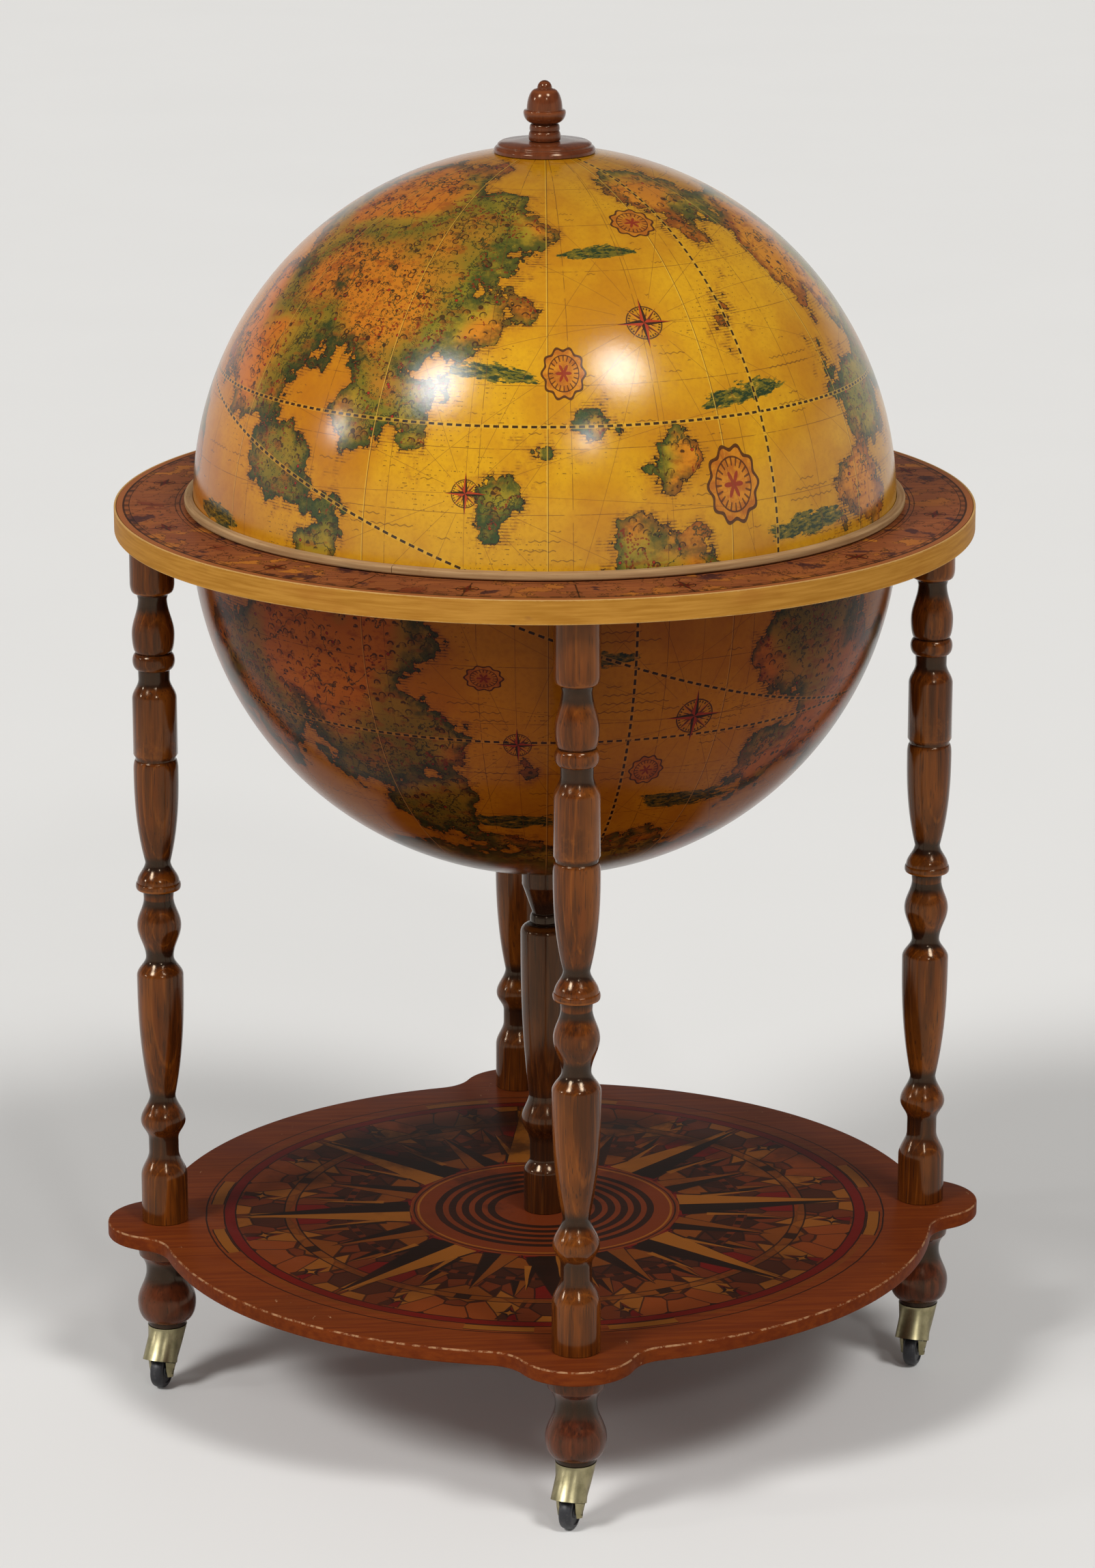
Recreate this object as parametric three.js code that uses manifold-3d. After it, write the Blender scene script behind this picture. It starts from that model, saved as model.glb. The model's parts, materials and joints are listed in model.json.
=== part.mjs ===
// Floor standing globe bar: a globe in two halves, carried by a horizon ring on four turned legs.
// The upper half is a lid on two hinges at the back. The lower half holds a tray for glasses and a
// well for bottles. A turned column stands below it on a lobed shelf, and four hooded casters carry all.
// Millimetres, +Z up, floor at zero, front toward -Y. The legs stand on the X and Y axes.

import * as THREE from 'three';
import { mergeVertices } from 'three/addons/utils/BufferGeometryUtils.js';
import Module from 'manifold-3d';

const wasm = await Module();
wasm.setup();

// Fits

const seatGap = 0.3;
const boreClearance = 0.4;
const cutOverrun = 1;
const weldDistance = 0.0001;

// Globe halves

const globeRadius = 250;
const bowlStepWidth = 2;
const bowlRadius = globeRadius + bowlStepWidth;
const shellWall = 4;

// Horizon ring and its edge band

const legGapWidth = 30;
const legCircleRadius = globeRadius + legGapWidth;
const ringOverhangWidth = 26;
const ringRadius = legCircleRadius + ringOverhangWidth;
const ringSeatWidth = 10;
const ringOpeningRadius = globeRadius - ringSeatWidth;
const ringThickness = 17;
const edgeBandThickness = 1.5;

// Trim at the foot of the lid, and the hoops that stiffen both rims

const trimHeight = 5.5;
const trimWidth = 6.2;
const trimRound = 1.6;
const trimLift = 0.3;
const trimJointWidth = 0.5;
const trimJointAngle = THREE.MathUtils.degToRad(-118);
const lidHoopWidth = 12.6;
const lidHoopHeight = 14;
const bowlHoopWidth = 19.2;
const bowlHoopHeight = 16;

// Turned wood

const legLength = 519.4;
const legRadius = 17;
const columnRadius = 17.6;
const footLength = 70.7;
const footRadius = 21.5;

// Shelf

const shelfThickness = 11;
const shelfOverhangWidth = 5;
const shelfDiscRadius = legCircleRadius + shelfOverhangWidth;
const shelfLobeRadius = 42;
const shelfFilletRadius = 30;
const shelfEdgeRound = 1.4;

// Rods, dowels and bolts inside the wood

const rodRadius = 4;
const rodDepthInLeg = 32;
const rodDepthInFoot = 20;
const dowelRadius = 5;
const dowelDepthInLeg = 28;
const dowelDepthInRing = 11;
const boltRadius = 4;
const boltDepth = 40;
const boltHeadRadius = 9;
const boltHeadHeight = 3.5;

// Finial on top of the lid

const finialBaseRadius = 35.6;
const finialBaseRise = 5.6;
const finialKnobRadius = 14.9;
const finialKnobHeight = 42.1;
const finialScrewRadius = 1.5;
const finialScrewDepth = 16;
const finialScrewHeadRadius = 4;
const finialScrewHeadHeight = 2;

// Hinges at the back

const hingeSpacingWidth = 90;
const hingeLeafWidth = 30;
const hingeLeafLength = 24;
const hingeLeafThickness = 1.2;
const hingeKnuckleRadius = 3.2;
const hingePinRadius = 1.3;
const hingePinClearance = 0.25;

// Tray for glasses and well for bottles

const trayThickness = 3;
const trayLipHeight = 4;
const trayLipWidth = 3;
const glassCount = 8;
const glassMouthRadius = 35;
const glassFloorRadius = 31;
const glassFloorRound = 4;
const glassRecessDepth = 24;
const wellRadius = 102;
const wellDepth = 168;
const wellWall = 2.5;
const wellFlangeWidth = 8;
const wellFloorRound = 14;

// Casters

const casterHeight = 45.7;
const casterHeading = THREE.MathUtils.degToRad(-114.4);
const wheelRadius = 13;
const wheelWidth = 9.5;
const wheelCrown = 2.8;
const wheelTrail = 12;
const wheelClearance = 1.2;
const collarRadius = 14.4;
const forkTipHeight = 9;
const noseRadius = 12.6;
const noseHeight = 21.5;
const noseReach = 15;
const noseLift = 4.4;
const hoodWall = 1.3;
const axleRadius = 2;
const axleHalfLength = 8.9;
const stemRadius = 4;
const stemLength = 30;
const stemHeadRadius = 6;
const stemHeadHeight = 1.5;
const socketWall = 1.4;

// How many flats stand for a round

const legFlats = 10;
const finialFlats = 16;
const shellFlats = 32;
const rimFlats = 32;
const rodFlats = 6;
const smallFlats = 8;
const casterFlats = 10;
const wheelFlats = 14;
const recessFlats = 10;
const filletSteps = 2;
const lobeSteps = 8;
const discSteps = 6;
const domeSteps = 8;
const liningSteps = 5;
const crownSteps = 2;
const roundSteps = 2;

// Heights of the stack, from the floor up

const footBottom = casterHeight + seatGap;
const footTop = footBottom + footLength;
const shelfBottom = footTop + seatGap;
const shelfTop = shelfBottom + shelfThickness;
const legBottom = shelfTop + seatGap;
const legTop = legBottom + legLength;
const ringBottom = legTop + seatGap;
const ringTop = ringBottom + ringThickness;
const bowlBottom = ringBottom - bowlRadius;
const lidCrown = ringTop + globeRadius;

// Turned outlines. A row is a tool move, then where it ends: share of the length, share of the radius
// and, for beads and coves, how far it swells past the straight line, as a share of the radius.

const legStartShare = 1;
const legMoveShares = [
  ['line', 0.066, 0.995],
  ['ogee', 0.102, 0.64],
  ['line', 0.121, 0.64],
  ['ogee', 0.148, 0.965],
  ['ogee', 0.186, 0.55],
  ['swell', 0.362, 0.995],
  ['ogee', 0.389, 0.594],
  ['ogee', 0.435, 0.94],
  ['ogee', 0.475, 0.635],
  ['line', 0.4846, 0.66],
  ['line', 0.4875, 0.9],
  ['bead', 0.4975, 0.9, 0.06],
  ['ogee', 0.527, 0.54],
  ['swell', 0.661, 0.95],
  ['round', 0.6745, 0.85],
  ['line', 0.6825, 0.94],
  ['line', 0.7615, 0.94],
  ['ogee', 0.789, 0.66],
  ['line', 0.8025, 0.67],
  ['bead', 0.8265, 0.72, 0.2],
  ['rise', 0.853, 0.9],
  ['ogee', 0.902, 0.61],
  ['line', 0.9085, 0.66],
  ['line', 0.9115, 0.8],
  ['rise', 0.9255, 0.94],
  ['line', 1, 0.94],
];

const columnStartShare = 0.88;
const columnMoveShares = [
  ['line', 0.112, 0.88],
  ['ogee', 0.15, 0.62],
  ['line', 0.2, 0.62],
  ['ogee', 0.262, 0.98],
  ['ogee', 0.335, 0.66],
  ['swell', 0.8, 1],
  ['round', 0.826, 0.55],
  ['bead', 0.855, 0.5, 0.08],
  ['line', 0.931, 0.9],
  ['line', 0.937, 0.94],
  ['line', 1, 0.94],
];

const footStartShare = 0.65;
const footMoveShares = [
  ['line', 0.05, 0.66],
  ['rise', 0.255, 1],
  ['ogee', 0.6, 0.685],
  ['taper', 0.78, 0.92],
  ['line', 0.9, 0.98],
  ['line', 1, 0.95],
];

const knobStartShare = 0.7;
const knobMoveShares = [
  ['bead', 0.157, 0.67, 0.07],
  ['bead', 0.278, 0.63, 0.06],
  ['line', 0.295, 0.59],
  ['rise', 0.475, 1],
  ['line', 0.505, 0.97],
  ['line', 0.515, 0.79],
  ['round', 0.857, 0.37],
  ['line', 0.866, 0.31],
  ['round', 1, 0],
];

// Hooded caster sections from the top down: share of the way to the tip, of the trail, and of the collar's
// radius along the wheel and across it.

const forkSectionShares = [
  [0, 0, 1, 1],
  [0.4, 0.46, 0.855, 0.855],
  [0.645, 0.79, 0.72, 0.76],
  [0.835, 0.96, 0.49, 0.68],
  [1, 1, 0.28, 0.625],
];

// Outlines

function arcPoints(centreX, centreY, radius, from, to, steps) {
  const points = [];
  for (let step = 0; step <= steps; step += 1) {
    const angle = from + ((to - from) * step) / steps;
    points.push(new THREE.Vector2(centreX + radius * Math.cos(angle), centreY + radius * Math.sin(angle)));
  }
  return points;
}

// Ways the turning tool moves between two places. Travel runs along the axis, blend from the old radius
// to the new one, and bulge swells outward.

const halfTurn = Math.PI;
const quarterTurn = Math.PI / 2;
const up = new THREE.Vector3(0, 0, 1);
const vasePower = 2.5;
const toolMoves = {
  line: { stops: 1, at: (t) => ({ travel: t, blend: t, bulge: 0 }) },
  bead: {
    stops: 4,
    at: (t) => ({ travel: (1 - Math.cos(halfTurn * t)) / 2, blend: t, bulge: Math.sin(halfTurn * t) }),
  },
  cove: {
    stops: 2,
    at: (t) => ({ travel: t, blend: t, bulge: -Math.sin(halfTurn * t) }),
  },
  round: {
    stops: 2,
    at: (t) => ({ travel: Math.sin(quarterTurn * t), blend: 1 - Math.cos(quarterTurn * t), bulge: 0 }),
  },
  rise: {
    stops: 2,
    at: (t) => ({ travel: 1 - Math.cos(quarterTurn * t), blend: Math.sin(quarterTurn * t), bulge: 0 }),
  },
  ogee: { stops: 3, at: (t) => ({ travel: t, blend: (1 - Math.cos(halfTurn * t)) / 2, bulge: 0 }) },
  taper: { stops: 3, at: (t) => ({ travel: t, blend: t ** vasePower, bulge: 0 }) },
  swell: { stops: 3, at: (t) => ({ travel: t, blend: 1 - (1 - t) ** vasePower, bulge: 0 }) },
};

function turnedOutline(length, radius, startShare, moveShares) {
  const points = [new THREE.Vector2(radius * startShare, 0)];
  let heightShare = 0;
  let radiusShare = startShare;
  for (const [name, endHeightShare, endRadiusShare, swellShare = 0] of moveShares) {
    const { stops, at } = toolMoves[name];
    for (let stop = 1; stop <= stops; stop += 1) {
      const { travel, blend, bulge } = at(stop / stops);
      const height = heightShare + (endHeightShare - heightShare) * travel;
      const reach = radiusShare + (endRadiusShare - radiusShare) * blend + swellShare * bulge;
      points.push(new THREE.Vector2(radius * Math.max(reach, 0), length * height));
    }
    heightShare = endHeightShare;
    radiusShare = endRadiusShare;
  }
  return points;
}

// A blind bore at either end turns the outline into one that starts and ends on the axis inside the wood.

function boredOutline(outline, lowerBore, upperBore) {
  const points = [...outline];
  const top = outline[outline.length - 1].y;
  if (lowerBore) {
    points.unshift(
      new THREE.Vector2(0, lowerBore.depth),
      new THREE.Vector2(lowerBore.radius, lowerBore.depth),
      new THREE.Vector2(lowerBore.radius, 0),
    );
  } else {
    points.unshift(new THREE.Vector2(0, 0));
  }
  if (upperBore) {
    points.push(
      new THREE.Vector2(upperBore.radius, top),
      new THREE.Vector2(upperBore.radius, top - upperBore.depth),
      new THREE.Vector2(0, top - upperBore.depth),
    );
  } else if (outline[outline.length - 1].x > 0) {
    points.push(new THREE.Vector2(0, top));
  }
  return points;
}

// Solids

function revolve(points, flats) {
  return new THREE.LatheGeometry(points, flats).rotateX(quarterTurn);
}

function revolveClosed(points, flats) {
  return revolve([...points, points[0].clone()], flats);
}

function rectangle(innerRadius, outerRadius, bottom, top) {
  return [
    new THREE.Vector2(innerRadius, bottom),
    new THREE.Vector2(outerRadius, bottom),
    new THREE.Vector2(outerRadius, top),
    new THREE.Vector2(innerRadius, top),
  ];
}

function pillar(radius, bottom, top, flats) {
  const outline = [
    new THREE.Vector2(0, bottom),
    new THREE.Vector2(radius, bottom),
    new THREE.Vector2(radius, top),
    new THREE.Vector2(0, top),
  ];
  return revolve(outline, flats);
}

function block(low, high) {
  const size = high.clone().sub(low);
  const centre = low.clone().add(high).multiplyScalar(1 / 2);
  return new THREE.BoxGeometry(size.x, size.y, size.z).translate(centre.x, centre.y, centre.z);
}

function toSolid(geometry) {
  const bare = geometry.clone();
  bare.deleteAttribute('normal');
  bare.deleteAttribute('uv');
  const merged = mergeVertices(bare, weldDistance);
  const corners = merged.index.array;
  const triangles = [];
  for (let i = 0; i < corners.length; i += 3) {
    const [a, b, c] = [corners[i], corners[i + 1], corners[i + 2]];
    if (a !== b && b !== c && c !== a) {
      triangles.push(a, b, c);
    }
  }
  const mesh = new wasm.Mesh({
    numProp: 3,
    vertProperties: new Float32Array(merged.attributes.position.array),
    triVerts: new Uint32Array(triangles),
  });
  return new wasm.Manifold(mesh);
}

function toGeometry(solid) {
  const mesh = solid.getMesh();
  const geometry = new THREE.BufferGeometry();
  const places = new Float32Array(mesh.vertProperties);
  geometry.setAttribute('position', new THREE.BufferAttribute(places, mesh.numProp));
  geometry.setIndex(new THREE.BufferAttribute(new Uint32Array(mesh.triVerts), 1));
  geometry.computeVertexNormals();
  return geometry;
}

function carve(geometry, cutters) {
  let solid = toSolid(geometry);
  for (const cutter of cutters) {
    solid = solid.subtract(toSolid(cutter));
  }
  return toGeometry(solid);
}

// Pieces. Each is drawn about its own seat: z is zero where it rests, unless its comment says otherwise.

const legAngles = {
  front: -quarterTurn,
  right: 0,
  rear: quarterTurn,
  left: halfTurn,
};

function shelfOutline() {
  const filletReach = shelfDiscRadius + shelfFilletRadius;
  const lobeReach = shelfLobeRadius + shelfFilletRadius;
  const squares = filletReach ** 2 + legCircleRadius ** 2 - lobeReach ** 2;
  const spread = Math.acos(squares / (2 * filletReach * legCircleRadius));
  const filletX = filletReach * Math.cos(spread);
  const filletY = filletReach * Math.sin(spread);
  const lobeSpread = Math.atan2(filletY, filletX - legCircleRadius);
  const fillet = arcPoints(
    filletX,
    filletY,
    shelfFilletRadius,
    halfTurn + lobeSpread,
    halfTurn + spread,
    filletSteps,
  );
  const mirroredFillet = fillet.map(({ x, y }) => new THREE.Vector2(x, -y)).reverse();
  const quarter = [
    ...mirroredFillet,
    ...arcPoints(legCircleRadius, 0, shelfLobeRadius, -lobeSpread, lobeSpread, lobeSteps).slice(1),
    ...fillet.slice(1),
    ...arcPoints(0, 0, shelfDiscRadius, spread, quarterTurn - spread, discSteps).slice(1, -1),
  ];
  const outline = [];
  for (const turn of Object.values(legAngles)) {
    outline.push(...quarter.map((point) => point.clone().rotateAround(new THREE.Vector2(), turn)));
  }
  return outline;
}

function placesOnLegCircle() {
  const reach = new THREE.Vector3(legCircleRadius, 0, 0);
  return Object.values(legAngles).map((angle) => reach.clone().applyAxisAngle(up, angle));
}

// The shelf has its rods' and the column bolt's holes through it.

function shelfGeometry() {
  const board = new THREE.ExtrudeGeometry(new THREE.Shape(shelfOutline()), {
    depth: shelfThickness - 2 * shelfEdgeRound,
    bevelThickness: shelfEdgeRound,
    bevelSize: shelfEdgeRound,
    bevelOffset: -shelfEdgeRound,
    bevelSegments: 1,
  }).translate(0, 0, shelfEdgeRound);
  const rodHoles = placesOnLegCircle().map((place) =>
    pillar(rodRadius + boreClearance, -cutOverrun, shelfThickness + cutOverrun, smallFlats).translate(
      place.x,
      place.y,
      place.z,
    ),
  );
  const boltHole = pillar(boltRadius + boreClearance, -cutOverrun, shelfThickness + cutOverrun, smallFlats);
  return carve(board, [...rodHoles, boltHole]);
}

function legGeometry() {
  const outline = turnedOutline(legLength, legRadius, legStartShare, legMoveShares);
  const rodBore = { radius: rodRadius + boreClearance, depth: rodDepthInLeg + seatGap };
  const dowelBore = { radius: dowelRadius + boreClearance, depth: dowelDepthInLeg + seatGap };
  return revolve(boredOutline(outline, rodBore, dowelBore), legFlats);
}

const columnLength = bowlBottom - seatGap - legBottom;

function columnGeometry() {
  const outline = turnedOutline(columnLength, columnRadius, columnStartShare, columnMoveShares);
  const bore = { radius: boltRadius + boreClearance, depth: boltDepth + seatGap };
  return revolve(boredOutline(outline, bore, bore), legFlats);
}

const socketRadius = stemRadius + boreClearance + socketWall;
const socketDepth = stemLength + seatGap;
const socketLength = socketDepth + socketWall;

function footGeometry() {
  const outline = turnedOutline(footLength, footRadius, footStartShare, footMoveShares);
  const socketBore = { radius: socketRadius + boreClearance, depth: socketLength + seatGap };
  const rodBore = { radius: rodRadius + boreClearance, depth: rodDepthInFoot + seatGap };
  return revolve(boredOutline(outline, socketBore, rodBore), legFlats);
}

// A rod runs from inside a foot, through the shelf, into the leg above.

const rodBottom = footTop - rodDepthInFoot;
const rodLength = legBottom + rodDepthInLeg - rodBottom;

function rodGeometry() {
  return pillar(rodRadius, 0, rodLength, rodFlats);
}

// A dowel runs from inside a leg into the underside of the ring.

const dowelBottom = legTop - dowelDepthInLeg;
const dowelLength = ringBottom + dowelDepthInRing - dowelBottom;

function dowelGeometry() {
  return pillar(dowelRadius, 0, dowelLength, rodFlats);
}

// Where a bolt's flat head meets the faceted inside of a shell it stands off by the rise of the facets.

const liningSlope = Math.tan(quarterTurn / (2 * liningSteps));
const boltStandOff = seatGap + (boltHeadRadius - boltRadius) * liningSlope;
const finialScrewStandOff = seatGap + (finialScrewHeadRadius - finialScrewRadius) * liningSlope;

// A bolt stands on its head: z is zero under the head.

function boltGeometry(radius, headRadius, headHeight, length) {
  const outline = [
    new THREE.Vector2(0, 0),
    new THREE.Vector2(headRadius, 0),
    new THREE.Vector2(headRadius, headHeight),
    new THREE.Vector2(radius, headHeight),
    new THREE.Vector2(radius, length),
    new THREE.Vector2(0, length),
  ];
  return revolve(outline, smallFlats);
}

const lowerBoltBottom = shelfBottom - seatGap - boltHeadHeight;
const lowerBoltLength = legBottom + boltDepth - lowerBoltBottom;
const upperBoltTop = bowlBottom + shellWall + boltStandOff + boltHeadHeight;
const upperBoltLength = upperBoltTop - (bowlBottom - seatGap - boltDepth);

function ringGeometry() {
  const outer = ringRadius - edgeBandThickness - seatGap;
  const board = revolveClosed(rectangle(ringOpeningRadius, outer, 0, ringThickness), rimFlats);
  const dowelHoles = placesOnLegCircle().map((place) =>
    pillar(dowelRadius + boreClearance, -cutOverrun, dowelDepthInRing + seatGap, smallFlats).translate(
      place.x,
      place.y,
      place.z,
    ),
  );
  return carve(board, dowelHoles);
}

function edgeBandGeometry() {
  return revolveClosed(rectangle(ringRadius - edgeBandThickness, ringRadius, 0, ringThickness), rimFlats);
}

// Half globes are drawn about the centre of the sphere, with a straight seat for the hoop inside the rim.

const bowlLiningRadius = bowlRadius - shellWall;
const bowlSeatTop = -seatGap - bowlHoopHeight;
const bowlSeatRadius = Math.sqrt(bowlLiningRadius ** 2 - bowlSeatTop ** 2);
const lidLiningRadius = globeRadius - shellWall;
const lidSeatTop = seatGap + lidHoopHeight;
const lidSeatRadius = Math.sqrt(lidLiningRadius ** 2 - lidSeatTop ** 2);

function bowlGeometry() {
  const hole = boltRadius + boreClearance;
  const outline = [
    ...arcPoints(
      0,
      0,
      bowlRadius,
      Math.asin(hole / bowlRadius) - quarterTurn,
      -Math.asin(seatGap / bowlRadius),
      domeSteps,
    ),
    new THREE.Vector2(bowlSeatRadius, -seatGap),
    ...arcPoints(
      0,
      0,
      bowlLiningRadius,
      Math.asin(bowlSeatTop / bowlLiningRadius),
      Math.asin(hole / bowlLiningRadius) - quarterTurn,
      liningSteps,
    ),
  ];
  return revolveClosed(outline, shellFlats);
}

function bowlHoopGeometry() {
  const outer = bowlSeatRadius - seatGap;
  const outline = rectangle(outer - bowlHoopWidth, outer, 0, bowlHoopHeight);
  return revolveClosed(outline, shellFlats);
}

// The hinge leaves are let in under the rim of the lid, so the lid's pieces are notched for them.

const hingeAxisY = globeRadius + trimWidth + hingeKnuckleRadius + 2 * seatGap;
const hingeAxisZ = ringTop + seatGap + hingeKnuckleRadius;
const hingePlaces = { left: -hingeSpacingWidth / 2, right: hingeSpacingWidth / 2 };

function leafNotches() {
  const halfWidth = hingeLeafWidth / 2 + boreClearance;
  return Object.values(hingePlaces).map((x) =>
    block(
      new THREE.Vector3(x - halfWidth, hingeAxisY - hingeLeafLength - boreClearance, -cutOverrun),
      new THREE.Vector3(x + halfWidth, hingeAxisY + cutOverrun, seatGap + hingeLeafThickness + seatGap),
    ),
  );
}

function lidGeometry() {
  const hole = finialScrewRadius + boreClearance;
  const outline = [
    ...arcPoints(
      0,
      0,
      globeRadius,
      Math.asin(seatGap / globeRadius),
      quarterTurn - Math.asin(hole / globeRadius),
      domeSteps,
    ),
    ...arcPoints(
      0,
      0,
      lidLiningRadius,
      quarterTurn - Math.asin(hole / lidLiningRadius),
      Math.asin(lidSeatTop / lidLiningRadius),
      liningSteps,
    ),
    new THREE.Vector2(lidSeatRadius, seatGap),
  ];
  return carve(revolveClosed(outline, shellFlats), leafNotches());
}

function lidHoopGeometry() {
  const outer = lidSeatRadius - seatGap;
  const outline = rectangle(outer - lidHoopWidth, outer, seatGap, lidSeatTop);
  return carve(revolveClosed(outline, shellFlats), leafNotches());
}

// The trim is one strip bent round the foot of the lid, so its two ends meet at a butt joint.

function lidTrimGeometry() {
  const inner = globeRadius + seatGap;
  const outer = globeRadius + trimWidth;
  const bottom = seatGap + trimLift;
  const top = bottom + trimHeight;
  const outline = [
    new THREE.Vector2(inner, bottom),
    new THREE.Vector2(outer - trimRound, bottom),
    new THREE.Vector2(outer, bottom + trimRound),
    new THREE.Vector2(outer, top - trimRound),
    new THREE.Vector2(outer - trimRound, top),
    new THREE.Vector2(inner, top),
  ];
  const joint = block(
    new THREE.Vector3(globeRadius - trimWidth, -trimJointWidth / 2, -cutOverrun),
    new THREE.Vector3(outer + cutOverrun, trimJointWidth / 2, top + cutOverrun),
  ).rotateZ(trimJointAngle);
  return carve(revolveClosed(outline, rimFlats), [...leafNotches(), joint]);
}

// The finial's base is hollowed underneath to sit on the crown of the lid, where z is zero.

const finialBaseTopShares = [
  [1, -0.08],
  [1, 0.04],
  [0.97, 0.32],
  [0.93, 0.38],
  [0.93, 0.68],
  [0.87, 0.92],
  [0.5, 1],
];

function finialBaseGeometry() {
  const hole = finialScrewRadius + boreClearance;
  const seat = globeRadius + seatGap;
  const outline = [
    ...arcPoints(
      0,
      -globeRadius,
      seat,
      quarterTurn - Math.asin(hole / seat),
      quarterTurn - Math.asin(finialBaseRadius / seat),
      roundSteps,
    ),
    ...finialBaseTopShares.map(
      ([radiusShare, riseShare]) =>
        new THREE.Vector2(finialBaseRadius * radiusShare, finialBaseRise * riseShare),
    ),
    new THREE.Vector2(hole, finialBaseRise),
  ];
  return revolveClosed(outline, finialFlats);
}

function finialKnobGeometry() {
  const outline = turnedOutline(finialKnobHeight, finialKnobRadius, knobStartShare, knobMoveShares);
  const bore = { radius: finialScrewRadius + boreClearance, depth: finialScrewDepth + seatGap };
  return revolve(boredOutline(outline, bore), legFlats);
}

const finialScrewBottom = lidCrown - shellWall - finialScrewStandOff - finialScrewHeadHeight;
const finialKnobBottom = lidCrown + finialBaseRise + seatGap;
const finialScrewLength = finialKnobBottom + finialScrewDepth - finialScrewBottom;

// Hinge pieces are drawn about the hinge's axis, with the leaf toward +Y. Two outer knuckles belong to one
// leaf and the middle one to the other.

const knuckleEdge = hingeLeafWidth / 6;

function lyingPillar(radius, from, to, flats) {
  return pillar(radius, from, to, flats).rotateY(quarterTurn);
}

function leafGeometry(ownSpans, otherSpans) {
  const half = hingeLeafWidth / 2;
  let solid = toSolid(
    block(
      new THREE.Vector3(-half, 0, -hingeKnuckleRadius),
      new THREE.Vector3(half, hingeLeafLength, hingeLeafThickness - hingeKnuckleRadius),
    ),
  );
  for (const [from, to] of otherSpans) {
    solid = solid.subtract(toSolid(lyingPillar(hingeKnuckleRadius + seatGap, from, to, casterFlats)));
  }
  for (const [from, to] of ownSpans) {
    solid = solid.add(toSolid(lyingPillar(hingeKnuckleRadius, from, to, casterFlats)));
  }
  const reach = half + cutOverrun;
  const bore = lyingPillar(hingePinRadius + hingePinClearance, -reach, reach, smallFlats);
  return toGeometry(solid.subtract(toSolid(bore)));
}

function fixedLeafGeometry() {
  const half = hingeLeafWidth / 2;
  const inner = knuckleEdge + seatGap / 2;
  const own = [
    [-half, -inner],
    [inner, half],
  ];
  return leafGeometry(own, [[-inner, inner]]);
}

function lidLeafGeometry() {
  const half = hingeLeafWidth / 2;
  const inner = knuckleEdge - seatGap / 2;
  const other = [
    [-half - cutOverrun, -inner],
    [inner, half + cutOverrun],
  ];
  return leafGeometry([[-inner, inner]], other).rotateZ(halfTurn);
}

function hingePinGeometry() {
  const half = hingeLeafWidth / 2;
  return lyingPillar(hingePinRadius, -half - seatGap, half + seatGap, smallFlats);
}

// The tray is one moulding: a sheet with a raised rim, a hole for the well and a ring of recesses.

const trayTop = trayThickness;
const trayRadius = ringOpeningRadius - 2 * seatGap;
const trayLipInner = trayRadius - trayLipWidth;
const glassCircleRadius = (wellRadius + wellFlangeWidth + trayLipInner) / 2;

function recessPlaces() {
  const places = [];
  for (let index = 0; index < glassCount; index += 1) {
    const angle = ((index + 1 / 2) * 2 * halfTurn) / glassCount;
    places.push(new THREE.Vector3(glassCircleRadius, 0, 0).applyAxisAngle(up, angle));
  }
  return places;
}

function trayGeometry() {
  const hole = wellRadius + boreClearance;
  const sheetOutline = [
    new THREE.Vector2(hole, 0),
    new THREE.Vector2(trayRadius, 0),
    new THREE.Vector2(trayRadius, trayTop + trayLipHeight),
    new THREE.Vector2(trayLipInner, trayTop + trayLipHeight),
    new THREE.Vector2(trayLipInner - trayLipHeight, trayTop),
    new THREE.Vector2(hole, trayTop),
  ];
  const cupOutline = [
    new THREE.Vector2(0, -glassRecessDepth),
    new THREE.Vector2(glassFloorRadius + trayThickness, -glassRecessDepth),
    new THREE.Vector2(glassMouthRadius + trayThickness, trayTop / 2),
    new THREE.Vector2(0, trayTop / 2),
  ];
  const recessFloor = trayTop - glassRecessDepth;
  const recessOutline = [
    new THREE.Vector2(0, recessFloor),
    new THREE.Vector2(glassFloorRadius - glassFloorRound, recessFloor),
    new THREE.Vector2(glassFloorRadius, recessFloor + glassFloorRound),
    new THREE.Vector2(glassMouthRadius, trayTop),
    new THREE.Vector2(glassMouthRadius, trayTop + cutOverrun),
    new THREE.Vector2(0, trayTop + cutOverrun),
  ];
  let solid = toSolid(revolveClosed(sheetOutline, rimFlats));
  for (const place of recessPlaces()) {
    const cup = revolve(cupOutline, recessFlats).translate(place.x, place.y, place.z);
    solid = solid.add(toSolid(cup));
  }
  for (const place of recessPlaces()) {
    const recess = revolve(recessOutline, recessFlats).translate(place.x, place.y, place.z);
    solid = solid.subtract(toSolid(recess));
  }
  return toGeometry(solid);
}

// The well hangs by its flange: z is zero under the flange.

function wellGeometry() {
  const inner = wellRadius - wellWall;
  const roundCentre = wellRadius - wellFloorRound;
  const roundHeight = wellFloorRound - wellDepth;
  const outline = [
    new THREE.Vector2(0, -wellDepth),
    ...arcPoints(roundCentre, roundHeight, wellFloorRound, -quarterTurn, 0, roundSteps),
    new THREE.Vector2(wellRadius, 0),
    new THREE.Vector2(wellRadius + wellFlangeWidth, 0),
    new THREE.Vector2(wellRadius + wellFlangeWidth, wellWall),
    new THREE.Vector2(inner, wellWall),
    ...arcPoints(roundCentre, roundHeight, wellFloorRound - wellWall, 0, -quarterTurn, roundSteps),
    new THREE.Vector2(0, wellWall - wellDepth),
  ];
  return revolve(outline, rimFlats);
}

// Caster pieces are drawn about the swivel's axis, with z zero on the floor and the wheel trailing to -Y.
// A section's lift raises its trailing end and lowers the other.

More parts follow.
